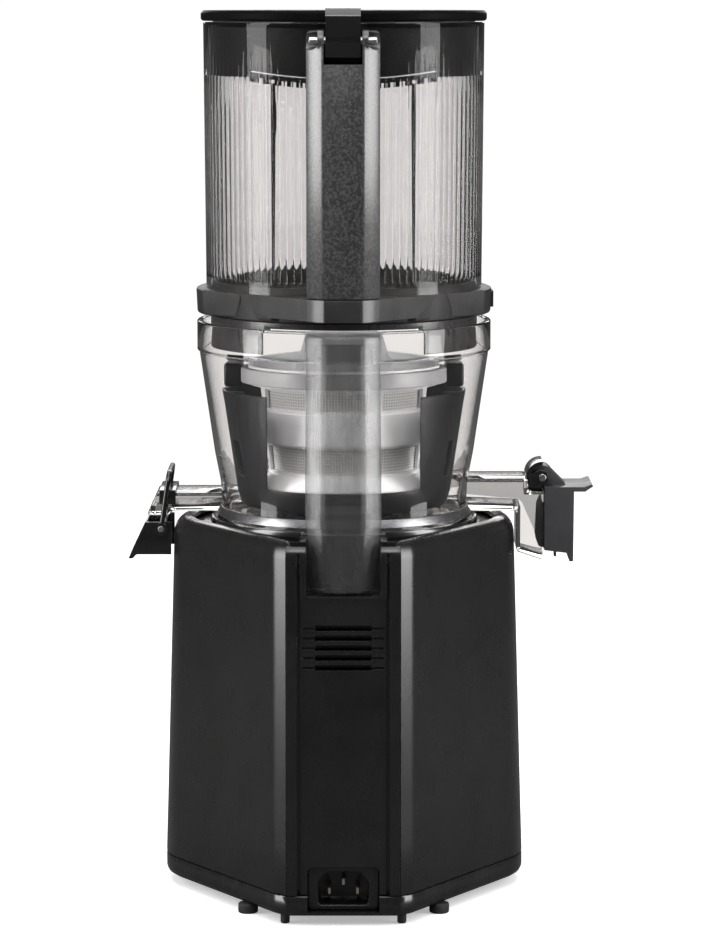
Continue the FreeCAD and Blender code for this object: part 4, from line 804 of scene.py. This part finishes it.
# ------------------------------------------------------------------ bowl
def make_bowl_shell():
    """The clear bowl: a turned wall, two spout tubes, the rim's bayonet blocks, ears for the lever's pin,
    the idler's post, and a grey metal band round the foot. The band is painted reflection: it stands in for
    the bright reflection on the bowl's foot."""
    profile = [(7.5, 193.0), (60.0, 193.0), (61.0, 190.3), (66.0, 190.3), (66.0, 192.1), (62.8, 197.3),
               (63.3, 209.6), (66.3, 225.0), (70.1, 251.0), (74.0, 277.8), (75.0, 277.8), (75.0, 293.0),
               (72.2, 293.0), (72.2, 279.2), (71.4, 276.8), (67.6, 251.0), (63.8, 225.0), (60.8, 209.6),
               (60.3, 196.0), (9.6, 196.0), (9.6, 212.6), (7.5, 212.6)]
    mesh = lathe("bowl_shell_form", profile, 256, 0.8)
    core = lathe("core", [(0.0, 180.0), (62.0, 180.0), (62.6, 209.6), (65.6, 225.0), (0.0, 225.0)], 128, 0)
    juice = [(-56.0, 192.6), (-89.2, 192.6), (-89.2, 171.2), (-103.2, 166.6), (-103.2, 203.0),
             (-95.0, 203.0), (-95.0, 209.4), (-56.0, 209.4)]
    pulp = [(50.0, 192.6), (89.0, 192.6), (90.4, 190.4), (102.2, 190.4), (96.8, 202.0), (50.0, 202.0)]
    tubes = [carve(soften(prism(outline, "Y", *SPOUT_Y), width, 4), [core])
             for outline, width in ((juice, 1.6), (pulp, 1.2))]
    juice_way = [(-50.0, 196.2), (-91.2, 194.8), (-91.2, 173.0), (-105.0, 168.5), (-105.0, 201.0),
                 (-93.0, 201.0), (-93.0, 207.4), (-50.0, 207.4)]
    pulp_way = [(46.0, 196.2), (60.0, 196.2), (62.5, 194.9), (89.0, 194.4), (91.4, 192.4), (105.0, 192.4),
                (100.0, 200.2), (46.0, 200.2)]
    first, last = SPOUT_Y
    ways = [prism(outline, "Y", first + SPOUT_WALL, last - SPOUT_WALL) for outline in (juice_way, pulp_way)]
    xs = [18.4 + 23.8 * k / 10 for k in range(11)]
    plan = [(x, math.sqrt(78.6 ** 2 - x ** 2)) for x in xs]
    plan += [(x, math.sqrt(74.6 ** 2 - x ** 2)) for x in reversed(xs)]
    joined = tubes + [prism([(side * x, y) for x, y in plan], "Z", 278.2, 292.0) for side in (-1, 1)]
    joined += [block(91.2, 97.6, y, y + 3.0, 180.8, 191.0) for y in (-36.4, -10.6)]
    joined.append(upright(0.0, IDLER_Y, 4.0, 195.0, 199.6))
    bores = [rod_along("Y", -60.0, 20.0, 94.4, 184.0, 1.6), upright(0.0, IDLER_Y, 2.0, 195.5, 220.0)]
    new_piece("bowl_shell_form", carve(mesh, ways + bores, joined), "bowl_shell", crease=30.0)
    # Painted reflection: this steel band stands in for the bright reflection on the bowl's foot.
    band = lathe("bowl_reflection_band", [(62.0, 193.6), (65.5, 193.6), (63.2, 197.6), (62.0, 197.6)], 192, 0.4)
    ports = [block(-80.0, -45.0, -38.6, -5.4, 190.0, 210.0), block(45.0, 80.0, -38.6, -5.4, 190.0, 210.0)]
    new_piece("bowl_band_form", carve(band, ports), "bowl_shell", slot="steel", material=PAINTED_REFLECTION_STEEL)


# ------------------------------------------------------------------ strainer ring and lid
def make_strainer_ring():
    """The strainer's light top flange and its two darker turning lugs."""
    rim = lathe("rim", [(49.0, 262.0), (53.0, 262.0), (53.0, 270.0), (49.0, 270.0)], 192, 0.8)
    new_piece("strainer_ring_form", rim, "strainer_ring", slot="strainer_grey", material=FLANGE_GREY)
    lugs = [soften(block(first, last, -9.0, 9.0, 259.4, 272.0), 1.6, 4)
            for first, last in ((-61.0, -51.5), (51.5, 61.0))]
    new_piece("strainer_lugs_form", gather("strainer_lugs_form", lugs), "strainer_ring", slot="cage_grey")


def make_lid():
    """The lid's flat plate, and the glossy hinge tab with a groove across its face."""
    plate = [(0.0, 444.2), (71.4, 444.2), (72.4, 445.2), (72.4, 448.2), (71.0, 449.6), (0.0, 449.6)]
    new_piece("lid_plate_form", lathe("lid_plate_form", plate, 224, 0.5), "lid", material=LID_BLACK)
    side = [(56.0, 448.6), (56.0, 450.8), (82.4, 450.8), (85.6, 447.4), (86.0, 436.0), (84.6, 427.0),
            (82.6, 427.0), (81.4, 431.0), (75.2, 437.0), (75.2, 445.0), (70.0, 446.0)]
    half = 8.6
    tab = prism(round_corners(side, 1.2), "X", -half, half)
    groove = block(-20.0, 20.0, 84.9, 90.0, 434.4, 436.8)
    bore = rod_along("X", -20.0, 20.0, HINGE_Y, HINGE_Z, 2.06)
    tab = carve(tab, [groove, bore], [rod_along("X", -half, half, HINGE_Y, HINGE_Z, HINGE_RADIUS)])
    new_piece("lid_tab_form", soften(tab, 0.5, 3, 36.0), "lid")


for build_piece in (make_top_deck, make_hopper_scoop, make_base_shell, make_base_tray, make_rear_panel,
                    make_inlet, make_bowl_handle, make_hopper_handle, make_hopper_shell, make_hopper_guard,
                    make_hopper_collar, make_counter_bearings, make_bowl_shell, make_strainer_ring,
                    make_lid):
    build_piece()

# CAD nodes that are right apart from their sharp edges, with the width of the rounding.
ROUNDED = {
    "feet": 0.8, "control_knob": 0.8, "juice_cap": 0.6, "cap_bracket": 0.5, "cap_gasket": 0.5,
    "pulp_lever": 0.5, "bail_catch": 0.4, "strainer_frame": 0.4, "scraper_cage": 0.7,
    "scraper_wipers": 0.3, "lid_seal": 0.4, "hinge_pin": 0.4, "cap_pin": 0.4, "lever_pin": 0.3,
}
for node, width in ROUNDED.items():
    refine(node, width)


# ------------------------------------------------------------------ CAD nodes that stay as they are
for node, piece in NODES.items():
    piece.data.materials.clear()
    piece.data.materials.append(MATERIALS[SLOT_OF[node]])


# ------------------------------------------------------------------ floor, light and camera
def make_floor(glow):
    """A round pale studio floor that glows where it is seen directly and is dark in reflections."""
    net = Net("studio_floor")
    path = net.add("LightPath")
    net.colour(net.blend_colour(path.outputs["Is Glossy Ray"], (0.90, 0.90, 0.90), (0.10, 0.10, 0.10)))
    bounced = net.math("ADD", path.outputs["Glossy Depth"], path.outputs["Diffuse Depth"])
    straight = net.math("SUBTRACT", path.outputs["Is Transmission Ray"], bounced)
    seen = net.math("MAXIMUM", path.outputs["Is Camera Ray"], straight)
    net.join(net.span(seen, 0.0, glow), net.shader.inputs["Emission Strength"])
    net.shader.inputs["Emission Color"].default_value = (1.0, 1.0, 1.0, 1.0)
    net.shader.inputs["Roughness"].default_value = 0.9
    net.shader.inputs["Specular IOR Level"].default_value = 0.1
    build = bmesh.new()
    bmesh.ops.create_circle(build, cap_ends=True, segments=96, radius=1.5)
    mesh = bpy.data.meshes.new("studio_floor")
    build.to_mesh(mesh)
    build.free()
    mesh.materials.append(net.material)
    floor = bpy.data.objects.new("studio_floor", mesh)
    bpy.context.scene.collection.objects.link(floor)


def make_softbox(name, place, aim, width, height, power):
    """A soft rectangular light, in metres and watts."""
    lamp = bpy.data.lights.new(name, "AREA")
    lamp.shape = "RECTANGLE"
    lamp.size, lamp.size_y, lamp.energy = width, height, power
    box = bpy.data.objects.new(name, lamp)
    bpy.context.scene.collection.objects.link(box)
    box.location = place
    box.rotation_euler = (Vector(aim) - Vector(place)).to_track_quat("-Z", "Y").to_euler()


def make_world(seen, around):
    """White behind the object, seen directly and through its clear parts, and dimmer as a light."""
    world = bpy.data.worlds.new("studio")
    world.use_nodes = True
    tree = world.node_tree
    sky = tree.nodes["Background"]
    sky.inputs["Color"].default_value = (1.0, 1.0, 1.0, 1.0)
    path = tree.nodes.new("ShaderNodeLightPath")

    def step(operation, first, second):
        node = tree.nodes.new("ShaderNodeMath")
        node.operation, node.use_clamp = operation, True
        tree.links.new(first, node.inputs[0])
        tree.links.new(second, node.inputs[1])
        return node.outputs[0]

    bounced = step("ADD", path.outputs["Glossy Depth"], path.outputs["Diffuse Depth"])
    straight = step("SUBTRACT", path.outputs["Is Transmission Ray"], bounced)
    direct = step("MAXIMUM", path.outputs["Is Camera Ray"], straight)
    level = tree.nodes.new("ShaderNodeMapRange")
    level.inputs["To Min"].default_value = around
    level.inputs["To Max"].default_value = seen
    tree.links.new(direct, level.inputs["Value"])
    tree.links.new(level.outputs["Result"], sky.inputs["Strength"])
    bpy.context.scene.world = world


def make_camera(place, tilt, lens):
    """A camera behind the object that looks at it and down by tilt degrees."""
    data = bpy.data.cameras.new("camera")
    data.lens = lens
    data.sensor_width = 36.0
    camera = bpy.data.objects.new("camera", data)
    bpy.context.scene.collection.objects.link(camera)
    camera.location = Vector(place) * MM
    camera.rotation_euler = (math.radians(90.0 - tilt), 0.0, math.pi)
    bpy.context.scene.camera = camera


make_floor(glow=0.40)
make_world(seen=1.05, around=0.09)
for name, side in (("side_light_right", -1), ("side_light_left", 1)):
    make_softbox(name, (side * 0.96, 0.30, 0.49), (0.0, 0.06, 0.30), 0.36, 1.06, 11.0)
make_softbox("top_light", (0.0, 0.0, 2.3), (0.0, 0.0, 0.0), 2.4, 2.4, 40.0)
make_softbox("fill_light", (0.0, 1.7, 2.0), (0.0, 0.0, 0.27), 1.4, 0.9, 22.0)
make_softbox("rear_light", (0.0, -1.5, 0.9), (0.0, 0.0, 0.25), 1.2, 0.8, 9.0)
make_camera(place=(-8.2, 1800.0, 454.6), tilt=7.49, lens=136.9)
bpy.context.scene.view_settings.view_transform = "Standard"
# The clear walls lie one behind the other, so light needs many steps to pass them all.
bpy.context.scene.cycles.transparent_max_bounces = 48
bpy.context.scene.cycles.max_bounces = 24
bpy.context.scene.cycles.transmission_bounces = 24
